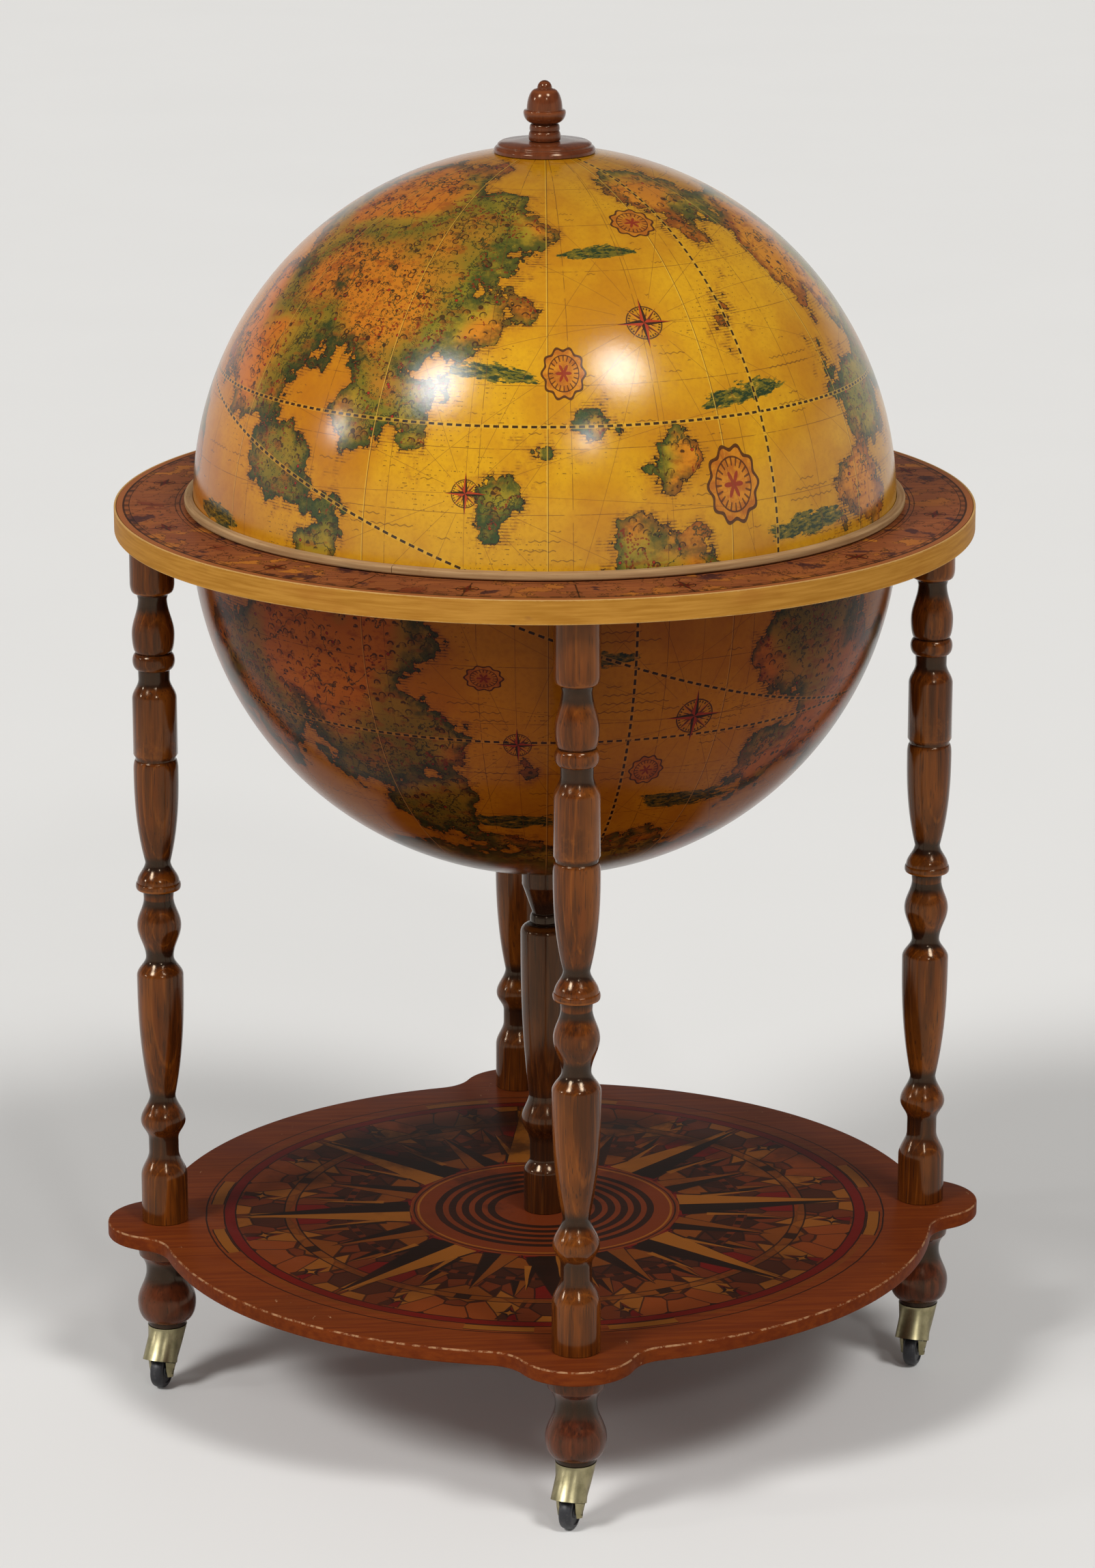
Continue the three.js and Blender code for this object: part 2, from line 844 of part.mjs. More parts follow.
function loft(sections, flats) {
  const corners = [];
  const triangles = [];
  for (const { height, trail, length, width, lift } of sections) {
    for (let index = 0; index < flats; index += 1) {
      const angle = (index * 2 * halfTurn) / flats;
      corners.push(width * Math.cos(angle), length * Math.sin(angle) - trail, height - lift * Math.sin(angle));
    }
  }
  for (let ring = 0; ring + 1 < sections.length; ring += 1) {
    for (let index = 0; index < flats; index += 1) {
      const next = (index + 1) % flats;
      const [a, b] = [ring * flats + index, ring * flats + next];
      triangles.push(a, b, b + flats, a, b + flats, a + flats);
    }
  }
  const last = (sections.length - 1) * flats;
  for (let index = 1; index + 1 < flats; index += 1) {
    triangles.push(0, index + 1, index, last, last + index, last + index + 1);
  }
  const geometry = new THREE.BufferGeometry();
  geometry.setAttribute('position', new THREE.Float32BufferAttribute(corners, 3));
  geometry.setIndex(triangles);
  return geometry;
}

// The fork narrows from the collar to its tip as it leans toward the wheel. Inset draws the space inside.

function forkSections(inset, drop) {
  const sections = forkSectionShares.map(([heightShare, trailShare, lengthShare, widthShare]) => ({
    height: casterHeight - inset + (forkTipHeight - casterHeight + inset) * heightShare,
    trail: wheelTrail * trailShare,
    length: collarRadius * lengthShare - inset,
    width: collarRadius * widthShare - inset,
    lift: 0,
  }));
  sections[sections.length - 1].height -= drop;
  return sections.reverse();
}

// The nose is the round hood over the wheel. It leaves the collar's front and its mouth tilts forward.

const noseStartShare = 0.78;

function noseSections(inset, drop) {
  const startRadius = collarRadius * noseStartShare;
  return [
    {
      height: noseHeight - drop,
      trail: noseReach,
      length: noseRadius - inset,
      width: noseRadius - inset,
      lift: noseLift,
    },
    {
      height: casterHeight - hoodWall - inset,
      trail: collarRadius - startRadius,
      length: startRadius - inset,
      width: startRadius - inset,
      lift: 0,
    },
  ];
}

function hoodGeometry() {
  const fork = toSolid(loft(forkSections(0, 0), casterFlats));
  const outside = fork.add(toSolid(loft(noseSections(0, 0), casterFlats)));
  const inside = toSolid(loft(forkSections(hoodWall, cutOverrun), casterFlats));
  const noseInside = toSolid(loft(noseSections(hoodWall, cutOverrun), casterFlats));
  const halfSlot = wheelWidth / 2 + wheelClearance;
  const slot = lyingPillar(wheelRadius + wheelClearance, -halfSlot, halfSlot, wheelFlats).translate(
    0,
    -wheelTrail,
    wheelRadius,
  );
  const reach = collarRadius + cutOverrun;
  const axleBore = lyingPillar(axleRadius + hingePinClearance, -reach, reach, smallFlats).translate(
    0,
    -wheelTrail,
    wheelRadius,
  );
  const stemBore = pillar(stemRadius + boreClearance, noseHeight, casterHeight + cutOverrun, smallFlats);
  let solid = outside.subtract(inside).subtract(noseInside);
  for (const cutter of [slot, axleBore, stemBore]) {
    solid = solid.subtract(toSolid(cutter));
  }
  return toGeometry(solid);
}

const stemBottom = casterHeight - hoodWall - seatGap - stemHeadHeight;

function stemGeometry() {
  return boltGeometry(stemRadius, stemHeadRadius, stemHeadHeight, footBottom + stemLength - stemBottom);
}

function axleGeometry() {
  return lyingPillar(axleRadius, -axleHalfLength, axleHalfLength, smallFlats);
}

// The wheel's flats, not its corners, lie at its radius, so one flat rests on the floor.

function wheelGeometry() {
  const bore = axleRadius + hingePinClearance;
  const half = wheelWidth / 2;
  const treadRadius = wheelRadius / Math.cos(halfTurn / wheelFlats);
  const outline = [new THREE.Vector2(bore, -half)];
  for (const point of arcPoints(0, 0, 1, -quarterTurn, quarterTurn, crownSteps)) {
    outline.push(new THREE.Vector2(treadRadius - wheelCrown + wheelCrown * point.x, half * point.y));
  }
  outline.push(new THREE.Vector2(bore, half));
  return revolveClosed(outline, wheelFlats).rotateY(quarterTurn);
}

function socketGeometry() {
  const inner = stemRadius + boreClearance;
  const outline = [
    new THREE.Vector2(0, socketDepth),
    new THREE.Vector2(inner, socketDepth),
    new THREE.Vector2(inner, 0),
    new THREE.Vector2(socketRadius, 0),
    new THREE.Vector2(socketRadius, socketLength),
    new THREE.Vector2(0, socketLength),
  ];
  return revolve(outline, smallFlats);
}

// Finishes

function finish(color, roughness, metalness = 0) {
  return { color, roughness, metalness };
}

const finishes = {
  darkWood: finish(0x3a1e12, 0.35),
  redWood: finish(0x4a2012, 0.3),
  plainWood: finish(0xb08a5c, 0.7),
  printedBoard: finish(0x8a4a28, 0.35),
  edgeVeneer: finish(0xb87f3c, 0.4),
  mapPaper: finish(0xc8922f, 0.35),
  paleTrim: finish(0xc9a678, 0.5),
  moulding: finish(0x4b2c1c, 0.45),
  brass: finish(0xa8945a, 0.35, 1),
  steel: finish(0x9a9a98, 0.4, 1),
  rubber: finish(0x17161a, 0.6),
};

function piece(name, geometry, finishName, x = 0, y = 0, z = 0) {
  const mesh = new THREE.Mesh(geometry, new THREE.MeshStandardMaterial(finishes[finishName]));
  mesh.name = name;
  mesh.position.set(x, y, z);
  return mesh;
}

// Assembly

function assemble() {
  const bar = new THREE.Group();

  bar.add(
    piece('lower_shelf', shelfGeometry(), 'printedBoard', 0, 0, shelfBottom),
    piece('centre_column', columnGeometry(), 'darkWood', 0, 0, legBottom),
    piece(
      'column_bolt_lower',
      boltGeometry(boltRadius, boltHeadRadius, boltHeadHeight, lowerBoltLength),
      'steel',
      0,
      0,
      lowerBoltBottom,
    ),
    piece(
      'column_bolt_upper',
      boltGeometry(boltRadius, boltHeadRadius, boltHeadHeight, upperBoltLength).rotateX(halfTurn),
      'steel',
      0,
      0,
      upperBoltTop,
    ),
    piece('horizon_ring', ringGeometry(), 'printedBoard', 0, 0, ringBottom),
    piece('ring_edge_band', edgeBandGeometry(), 'edgeVeneer', 0, 0, ringBottom),
    piece('lower_globe_half', bowlGeometry(), 'mapPaper', 0, 0, ringBottom),
    piece('bowl_hoop', bowlHoopGeometry(), 'plainWood', 0, 0, ringBottom + bowlSeatTop),
    piece('glass_tray', trayGeometry(), 'moulding', 0, 0, ringBottom),
    piece('bottle_well', wellGeometry(), 'moulding', 0, 0, ringBottom + trayTop + seatGap),
  );

  for (const [side, angle] of Object.entries(legAngles)) {
    const { x, y } = new THREE.Vector3(legCircleRadius, 0, 0).applyAxisAngle(up, angle);
    bar.add(
      piece(`leg_${side}`, legGeometry(), 'darkWood', x, y, legBottom),
      piece(`leg_dowel_${side}`, dowelGeometry(), 'plainWood', x, y, dowelBottom),
      piece(`leg_rod_${side}`, rodGeometry(), 'steel', x, y, rodBottom),
      piece(`foot_${side}`, footGeometry(), 'redWood', x, y, footBottom),
      piece(`caster_socket_${side}`, socketGeometry(), 'steel', x, y, footBottom),
    );
    const caster = new THREE.Group();
    caster.position.set(x, y, 0);
    caster.rotation.z = casterHeading + quarterTurn;
    caster.add(
      piece(`caster_stem_${side}`, stemGeometry(), 'steel', 0, 0, stemBottom),
      piece(`caster_hood_${side}`, hoodGeometry(), 'brass'),
      piece(`caster_axle_${side}`, axleGeometry(), 'steel', 0, -wheelTrail, wheelRadius),
      piece(`caster_wheel_${side}`, wheelGeometry(), 'rubber', 0, -wheelTrail, wheelRadius),
    );
    bar.add(caster);
  }

  const lid = new THREE.Group();
  lid.position.z = ringTop;
  lid.add(
    piece('upper_globe_half', lidGeometry(), 'mapPaper'),
    piece('lid_hoop', lidHoopGeometry(), 'plainWood'),
    piece('lid_trim', lidTrimGeometry(), 'paleTrim'),
    piece('finial_base', finialBaseGeometry(), 'redWood', 0, 0, globeRadius),
    piece('finial_knob', finialKnobGeometry(), 'redWood', 0, 0, finialKnobBottom - ringTop),
    piece(
      'finial_screw',
      boltGeometry(finialScrewRadius, finialScrewHeadRadius, finialScrewHeadHeight, finialScrewLength),
      'steel',
      0,
      0,
      finialScrewBottom - ringTop,
    ),
  );
  bar.add(lid);

  for (const [side, x] of Object.entries(hingePlaces)) {
    bar.add(
      piece(`hinge_fixed_leaf_${side}`, fixedLeafGeometry(), 'brass', x, hingeAxisY, hingeAxisZ),
      piece(`hinge_lid_leaf_${side}`, lidLeafGeometry(), 'brass', x, hingeAxisY, hingeAxisZ),
      piece(`hinge_pin_${side}`, hingePinGeometry(), 'steel', x, hingeAxisY, hingeAxisZ),
    );
  }
  return bar;
}

export default assemble();
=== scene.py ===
# Floor globe bar: its visible pieces, their finishes, and the plain studio it stands in.
# Metres, +Z up, floor at zero, front toward -Y, as in the frame.

import json
from math import acos, asin, atan2, cos, degrees, hypot, pi, radians, sin, sqrt, tau

import bmesh
import bpy
from mathutils import Matrix, Vector


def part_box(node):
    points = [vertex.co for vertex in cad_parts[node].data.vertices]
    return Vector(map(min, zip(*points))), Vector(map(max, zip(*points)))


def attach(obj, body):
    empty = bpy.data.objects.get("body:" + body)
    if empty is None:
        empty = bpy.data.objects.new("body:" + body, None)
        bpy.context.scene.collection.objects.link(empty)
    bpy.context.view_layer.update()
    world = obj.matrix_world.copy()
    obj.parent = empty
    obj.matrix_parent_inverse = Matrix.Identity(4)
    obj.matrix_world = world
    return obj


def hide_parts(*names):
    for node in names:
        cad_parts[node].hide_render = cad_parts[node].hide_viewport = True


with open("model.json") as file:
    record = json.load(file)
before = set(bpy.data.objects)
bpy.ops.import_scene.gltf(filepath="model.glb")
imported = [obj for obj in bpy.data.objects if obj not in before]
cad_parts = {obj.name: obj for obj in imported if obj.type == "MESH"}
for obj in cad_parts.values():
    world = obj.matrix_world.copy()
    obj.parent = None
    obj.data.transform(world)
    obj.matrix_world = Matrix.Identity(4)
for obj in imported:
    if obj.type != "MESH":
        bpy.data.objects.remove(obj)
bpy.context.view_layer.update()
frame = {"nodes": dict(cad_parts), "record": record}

# Sizes

SIDES = {"front": (0, -1), "right": (1, 0), "rear": (0, 1), "left": (-1, 0)}
SEAT_GAP = 0.0003
FINE = 0.000001
OVERCUT = 0.001
RING_FLATS = 192
GLOBE_FLATS = 160
WELL_FLATS = 128
WHEEL_FLATS = 72
TURNED_FLATS = 64
GLASS_FLATS = 48
STEM_FLATS = 32
SCREW_FLATS = 24

GLOBE_RADIUS = 0.25
BOWL_RADIUS = 0.252
SHELL_WALL = 0.004
RING_OPENING_RADIUS = 0.24
RING_RADIUS = 0.306
EDGE_BAND_THICKNESS = 0.0015
LEG_CIRCLE_RADIUS = 0.28
LEG_RADIUS = 0.017
COLUMN_RADIUS = 0.0176
FOOT_RADIUS = 0.0215
SHELF_DISC_RADIUS = 0.285
SHELF_LOBE_RADIUS = 0.042
SHELF_FILLET_RADIUS = 0.03
SHELF_EDGE_ROUND = 0.0014
TRIM_HEIGHT = 0.0055
TRIM_WIDTH = 0.0062
TRIM_ROUND = 0.0018
TRIM_JOINT_WIDTH = 0.0005
TRIM_JOINT_ANGLE = radians(-118)
FINIAL_BASE_RADIUS = 0.0356
FINIAL_BASE_RISE = 0.0056
FINIAL_KNOB_RADIUS = 0.0149
CASTER_HEADING = radians(-114.4)
CASTER_HEIGHT = 0.0457
WHEEL_RADIUS = 0.013
WHEEL_WIDTH = 0.0095
WHEEL_TRAIL = 0.012

ring_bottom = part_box("horizon_ring")[0][2]
ring_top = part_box("horizon_ring")[1][2]
shelf_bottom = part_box("lower_shelf")[0][2]
shelf_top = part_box("lower_shelf")[1][2]
lid_crown = ring_top + GLOBE_RADIUS


# Shader maths


class Field:
    """A socket of a node. Arithmetic on it adds Math nodes."""

    def __init__(self, nodes, socket):
        self.nodes = nodes
        self.socket = socket

    def out(self, name):
        return Field(self.nodes, self.socket.node.outputs[name])

    def __add__(self, other):
        return self.nodes.maths("ADD", self, other)

    __radd__ = __add__

    def __sub__(self, other):
        return self.nodes.maths("SUBTRACT", self, other)

    def __rsub__(self, other):
        return self.nodes.maths("SUBTRACT", other, self)

    def __mul__(self, other):
        return self.nodes.maths("MULTIPLY", self, other)

    __rmul__ = __mul__

    def __truediv__(self, other):
        return self.nodes.maths("DIVIDE", self, other)

    def __mod__(self, other):
        return self.nodes.maths("FLOORED_MODULO", self, other)

    def __lt__(self, other):
        return self.nodes.maths("LESS_THAN", self, other)

    def __gt__(self, other):
        return self.nodes.maths("GREATER_THAN", self, other)

    def __neg__(self):
        return self * -1

    def __abs__(self):
        return self.nodes.maths("ABSOLUTE", self)

    def fade(self, start, end):
        """Zero at start, one at end, smooth between."""
        inputs = {"Value": self, "From Min": start, "From Max": end}
        return self.nodes.node("ShaderNodeMapRange", inputs, interpolation_type="SMOOTHSTEP")

    def parts(self):
        split = self.nodes.node("ShaderNodeSeparateXYZ", {0: self})
        return split.out("X"), split.out("Y"), split.out("Z")

    def mapped(self, scale=(1, 1, 1), shift=(0, 0, 0)):
        return self.nodes.node("ShaderNodeMapping", {"Vector": self, "Location": shift, "Scale": scale})

    def noise(self, scale, detail=2.0, roughness=0.5):
        inputs = {"Vector": self, "Scale": scale, "Detail": detail, "Roughness": roughness}
        return self.nodes.node("ShaderNodeTexNoise", inputs)

    def cells(self, scale, out="Distance", feature="F1"):
        inputs = {"Vector": self, "Scale": scale}
        return self.nodes.node("ShaderNodeTexVoronoi", inputs, out, feature=feature)


class Nodes:
    """A tree of shader nodes, emptied first."""

    def __init__(self, tree):
        self.tree = tree
        tree.nodes.clear()

    def node(self, kind, inputs=None, out=0, stops=None, **settings):
        """One node: its settings first, then values or links for its sockets."""
        made = self.tree.nodes.new(kind)
        for setting, value in settings.items():
            setattr(made, setting, value)
        if stops:
            ramp = made.color_ramp.elements
            while len(ramp) < len(stops):
                ramp.new(0.5)
            for element, (position, colour) in zip(ramp, stops):
                element.position = position
                element.color = (*colour, 1)
        for socket, value in (inputs or {}).items():
            self.feed(made.inputs[socket], value)
        return Field(self, made.outputs[out])

    def feed(self, socket, value):
        if isinstance(value, Field):
            self.tree.links.new(value.socket, socket)
        elif socket.type == "RGBA":
            socket.default_value = (*value, 1)
        else:
            socket.default_value = value

    def maths(self, operation, first, second=0.0, third=0.0):
        return self.node("ShaderNodeMath", {0: first, 1: second, 2: third}, operation=operation)

    def vector(self, operation, first, second=(0, 0, 0)):
        out = "Value" if operation in ("DOT_PRODUCT", "DISTANCE", "LENGTH") else "Vector"
        return self.node("ShaderNodeVectorMath", {0: first, 1: second}, out, operation=operation)

    def joined(self, x, y, z=0.0):
        return self.node("ShaderNodeCombineXYZ", {0: x, 1: y, 2: z})

    def mix(self, factor, first, second, blend="MIX"):
        inputs = {0: factor, 6: first, 7: second}
        return self.node("ShaderNodeMix", inputs, 2, data_type="RGBA", blend_type=blend)

    def ramp(self, factor, stops):
        return self.node("ShaderNodeValToRGB", {0: factor}, stops=stops)


class Finish(Nodes):
    """A material: its surface shader, and the colour that is painted on layer by layer."""

    def __init__(self, name, constants, coverage=1.0):
        self.material = bpy.data.materials.new(name)
        self.material.use_nodes = True
        super().__init__(self.material.node_tree)
        self.surface = self.tree.nodes.new("ShaderNodeBsdfPrincipled")
        output = self.tree.nodes.new("ShaderNodeOutputMaterial")
        self.tree.links.new(self.surface.outputs[0], output.inputs["Surface"])
        for socket, value in constants.items():
            self.surface.inputs[socket].default_value = value
        self.place = self.node("ShaderNodeTexCoord", out="Object")
        self.coverage = coverage
        self.colour = None

    def paint(self, mask, tint, strength=None, blend="MIX"):
        """Lays a tint over the colour so far, where the mask is one."""
        strength = self.coverage if strength is None else strength
        self.colour = self.mix(mask * strength, self.colour, tint, blend)

    def set(self, socket, value):
        self.feed(self.surface.inputs[socket], value)

    def done(self, roughness, height, distance, strength):
        """Joins colour, roughness and bump to the surface, and gives the material."""
        self.set("Base Color", self.colour)
        self.set("Roughness", roughness)
        bump = {"Height": height, "Distance": distance, "Strength": strength}
        self.set("Normal", self.node("ShaderNodeBump", bump))
        return self.material


def band(value, low, high):
    """One where the value lies between low and high."""
    return (value > low) * (value < high)


def line(value, width):
    """One within half the width of zero."""
    return abs(value) < width / 2


def wrapped(value, period):
    """Distance to the nearest multiple of the period, with its sign."""
    return (value + period / 2) % period - period / 2


class Rosette:
    """A flat pattern about a centre: u and v across it, radius and angle round it."""

    def __init__(self, finish, u, v):
        self.finish = finish
        self.radius = finish.maths("SQRT", u * u + v * v)
        self.angle = finish.maths("ARCTAN2", v, u)

    def folded(self, count, turn=0.0):
        """Distances along and across the nearest of so many spokes."""
        spread = wrapped(self.angle - turn, tau / count)
        along = self.radius * self.finish.maths("COSINE", spread)
        across = self.radius * self.finish.maths("SINE", spread)
        return along, across

    def points(self, count, turn, root, tip, half_width):
        """The two halves of the long points of a wind star."""
        along, across = self.folded(count, turn)
        inside = abs(across) < (tip - along) * (half_width / (tip - root))
        inside = inside * ((along - root) * (tip - root) > 0)
        left = inside * (across > 0)
        return left, inside - left

    def stars(self, count, turn, reach, size):
        """Small four pointed stars round a circle."""
        along, across = self.folded(count, turn)
        sum_of_roots = self.finish.maths("SQRT", abs(along - reach)) + self.finish.maths("SQRT", abs(across))
        return sum_of_roots < sqrt(size)

    def circle(self, radius, width):
        return line(self.radius - radius, width)

    def part_of_turn(self, count, turn, share):
        """One along a share of each of so many equal arcs."""
        spread = wrapped(self.angle - turn, tau / count)
        return abs(spread) < share * pi / count


# Finishes: turned wood

AMBER = (1, 0.78, 0.55, 1)
VARNISH = {"IOR": 1.42, "Specular Tint": AMBER}
SATIN = {"IOR": 1.06}
# Near black for print lines and pores, and for painted shade in the hollows of turned wood.
INK_AND_SHADE = (0.012, 0.006, 0.004)


def turned_wood(name, deep, body, warm, ring_pull, age):
    """Varnished wood with growth rings, pores and worn ridges, and painted shade in its hollows; age scales
    the painted shade, the pores and the bump.
    """
    finish = Finish(name, VARNISH)
    place = finish.place
    streaks = place.mapped(scale=(1, 1, 0.045)).noise(260, 4, 0.62)
    clouds = place.mapped(scale=(1, 1, 0.2)).noise(34, 2)
    x, y, z = place.parts()
    sway = place.mapped(scale=(1, 1, 0.22)).noise(26, 2, 0.5)
    depth = y * 0.96 - x * 0.27 + z * 0.012 + (sway - 0.5) * 0.009
    ring = (depth * ring_pull) % 1
    pale_ring = ring.fade(0.7, 0.82) * ring.fade(0.96, 0.86)
    dark_ring = ring.fade(0.3, 0.55) * ring.fade(0.7, 0.56)
    long_pores = place.mapped(scale=(1, 1, 0.035))
    pores = long_pores.noise(1000).fade(0.58, 0.68)
    hollow = finish.node("ShaderNodeAttribute", out="Fac", attribute_name="hollow")
    edge = finish.node("ShaderNodeAttribute", out="Fac", attribute_name="edge")
    finish.colour = finish.mix(streaks.fade(0.32, 0.68), deep, body)
    stain = place.mapped(shift=(0.2, 0.1, 0.3), scale=(1, 1, 0.5)).noise(21, 3, 0.6)
    finish.paint(clouds.fade(0.42, 0.7), warm, 0.5)
    finish.paint(stain.fade(0.48, 0.66), deep, 0.7)
    finish.paint(pale_ring * streaks.fade(0.36, 0.6), warm, 0.34)
    finish.paint(dark_ring, deep, 0.16)
    # Painted shade: the hollows of the turning go near black where the hollow mark is high.
    finish.paint((hollow + (clouds - 0.5) * 0.5).fade(0.04, 0.46), INK_AND_SHADE, 0.92 * age)
    finish.paint(pores, INK_AND_SHADE, 0.6 * age)
    chips = place.noise(150, 3, 0.7)
    worn = (edge + (chips - 0.5) * 1.2).fade(0.3, 0.9)
    finish.paint(worn, warm, 0.7)
    return finish.done(0.08 + streaks * 0.12, streaks * 0.4 - pores * 0.6, 0.00006 * age, 0.4)


WOODS = {
    "leg_wood": ((0.042, 0.01, 0.002), (0.115, 0.026, 0.003), (0.24, 0.068, 0.008), 240, 1),
    "foot_wood": ((0.03, 0.008, 0.004), (0.075, 0.016, 0.006), (0.13, 0.03, 0.009), 210, 1),
    # The column's wood is the leg wood made darker, as painted shade under the bowl.
    "shaded_column_wood": ((0.022, 0.006, 0.002), (0.055, 0.014, 0.003), (0.11, 0.033, 0.006), 240, 1),
    "finial_wood": ((0.085, 0.02, 0.007), (0.12, 0.029, 0.009), (0.17, 0.045, 0.013), 260, 0.35),
}
woods = {name: turned_wood(name, *tones) for name, tones in WOODS.items()}


def bare_wood(name, dark, light):
    """Plain unstained wood of the inner pieces."""
    finish = Finish(name, {})
    streaks = finish.place.mapped(scale=(1, 1, 0.08)).noise(160, 4, 0.6)
    finish.colour = finish.mix(streaks.fade(0.3, 0.7), dark, light)
    return finish.done(0.62, streaks, 0.0002, 0.4)


plain_wood = bare_wood("plain_wood", (0.3, 0.16, 0.065), (0.48, 0.3, 0.14))

# Finishes: boards with a printed top

BOARD = (0.15, 0.031, 0.006)
BOARD_DEEP = (0.1, 0.0185, 0.005)
PRINT_RED = (0.075, 0.015, 0.005)
TAN = (0.118, 0.03, 0.005)
OCHRE = (0.19, 0.06, 0.008)
CRIMSON = (0.09, 0.005, 0.004)
UMBER = (0.034, 0.01, 0.005)
PALE_CHIP = (0.42, 0.24, 0.12)


def board_grain(finish):
    """Long grain across a board, with broad clouds."""
    streaks = finish.place.mapped(scale=(0.06, 1, 1)).noise(260, 4, 0.6)
    clouds = finish.place.noise(11, 3, 0.55)
    return streaks, clouds


def shelf_finish():
    """The shelf: a wind star in rings, printed on reddish board, worn along its edge."""
    finish = Finish("shelf_print", SATIN, coverage=0.92)
    paint = finish.paint
    place = finish.place
    x, y, z = place.parts()
    streaks, clouds = board_grain(finish)
    wander = place.noise(60, 2)
    star = Rosette(finish, x + (wander - 0.5) * 0.0012, y)
    board = finish.mix((streaks * 0.6 + clouds * 0.4).fade(0.36, 0.64), BOARD_DEEP, BOARD)
    finish.colour = board
    field = band(star.radius, 0.0995, 0.2285)
    paint(field, PRINT_RED, 0.8)
    along, across = star.folded(8)
    shard_place = finish.joined(along * 38, abs(across) * 52, 0.35)
    shard = shard_place.cells(1, "Color")
    chance = shard.parts()[0]
    shard_edge = shard_place.cells(1, feature="DISTANCE_TO_EDGE")
    for low, high, tint, strength in (
        (0.0, 0.14, INK_AND_SHADE, 0.8),
        (0.2, 0.36, TAN, 0.95),
        (0.4, 0.52, CRIMSON, 0.9),
        (0.56, 0.66, OCHRE, 0.75),
        (0.7, 0.8, UMBER, 0.9),
        (0.84, 0.95, BOARD, 0.85),
    ):
        paint(field * band(chance, low, high), tint, strength)
    paint(field * (shard_edge < 0.03), INK_AND_SHADE, 0.8)
    paint(star.circle(0.1455, 0.0056), PRINT_RED)
    paint(star.circle(0.1455, 0.005) * star.part_of_turn(64, 0, 0.55), INK_AND_SHADE)
    for radius in (0.184, 0.1925):
        paint(star.circle(radius, 0.0013), INK_AND_SHADE)
    paint(star.circle(0.1883, 0.0072), TAN, 0.6)
    paint(star.circle(0.1883, 0.0085) * star.part_of_turn(16, 0, 0.16), INK_AND_SHADE)
    for count, turn, root, tip, half_width, first, second in (
        (16, 11.25, 0.226, 0.199, 0.0075, CRIMSON, UMBER),
        (16, 11.25, 0.15, 0.181, 0.006, TAN, INK_AND_SHADE),
        (8, 22.5, 0.1, 0.172, 0.013, TAN, INK_AND_SHADE),
        (8, 0.0, 0.1, 0.2275, 0.021, OCHRE, INK_AND_SHADE),
    ):
        reach = 0.0025 if tip > root else -0.0025
        rim_left, rim_right = star.points(count, radians(turn), root, tip + reach, half_width + 0.0012)
        paint(rim_left + rim_right, INK_AND_SHADE, 0.85)
        left, right = star.points(count, radians(turn), root, tip, half_width)
        paint(left, first)
        paint(right, second)
    for turn in (9, -9):
        left, right = star.points(8, radians(turn), 0.12, 0.17, 0.0052)
        paint(left, INK_AND_SHADE)
        paint(right, OCHRE, 0.8)
    paint(star.stars(16, radians(11.25), 0.2125, 0.0125), INK_AND_SHADE)
    paint(star.stars(16, radians(11.25), 0.2125, 0.006), OCHRE)
    paint(star.radius < 0.0985, BOARD_DEEP, 1)
    paint(star.circle(0.0965, 0.0012), INK_AND_SHADE)
    paint(star.circle(0.0935, 0.0016), OCHRE)
    paint(band(star.radius, 0.037, 0.0845) * ((star.radius - 0.037) % 0.0096 < 0.0054), INK_AND_SHADE)
    paint(star.circle(0.2325, 0.0085), CRIMSON)
    paint(star.circle(0.2282, 0.0012) + star.circle(0.2368, 0.0012), INK_AND_SHADE)
    for turn in (12, -12):
        gold = star.part_of_turn(4, radians(turn), 0.13)
        paint(band(star.radius, 0.2375, 0.2475) * gold, INK_AND_SHADE)
        paint(band(star.radius, 0.2385, 0.2465) * gold, OCHRE, 0.85)
    paint(star.circle(0.2405, 0.0034) * star.part_of_turn(4, pi / 4, 0.5), TAN, 0.7)
    paint(star.circle(0.25, 0.0012), INK_AND_SHADE)

    # Darker toward the rear and inside the outer rings, with noise.
    rear_darkening = (place.noise(17, 5, 0.65) + y * 0.9).fade(0.54, 0.74)
    paint(rear_darkening * star.radius.fade(0.25, 0.2), INK_AND_SHADE, 0.75)

    top_mask = z > shelf_top - 0.0001
    finish.colour = finish.mix(top_mask, board, finish.colour)
    paint(clouds.fade(0.45, 0.75), UMBER, 0.35)
    arris = band(z, shelf_top - SHELF_EDGE_ROUND * 0.95, shelf_top - SHELF_EDGE_ROUND * 0.12)
    chips = place.noise(190, 4, 0.7).fade(0.42, 0.6)
    paint(arris * chips, PALE_CHIP, 0.6)
    stretched = place.mapped(scale=(1, 0.35, 1))
    scuffs = stretched.noise(240, 3, 0.75).fade(0.66, 0.74)
    outer = star.radius > 0.2535
    paint(scuffs * clouds.fade(0.5, 0.62) * outer, PALE_CHIP, 0.7)
    return finish.done(0.24 + clouds * 0.2, streaks, 0.00012, 0.35)


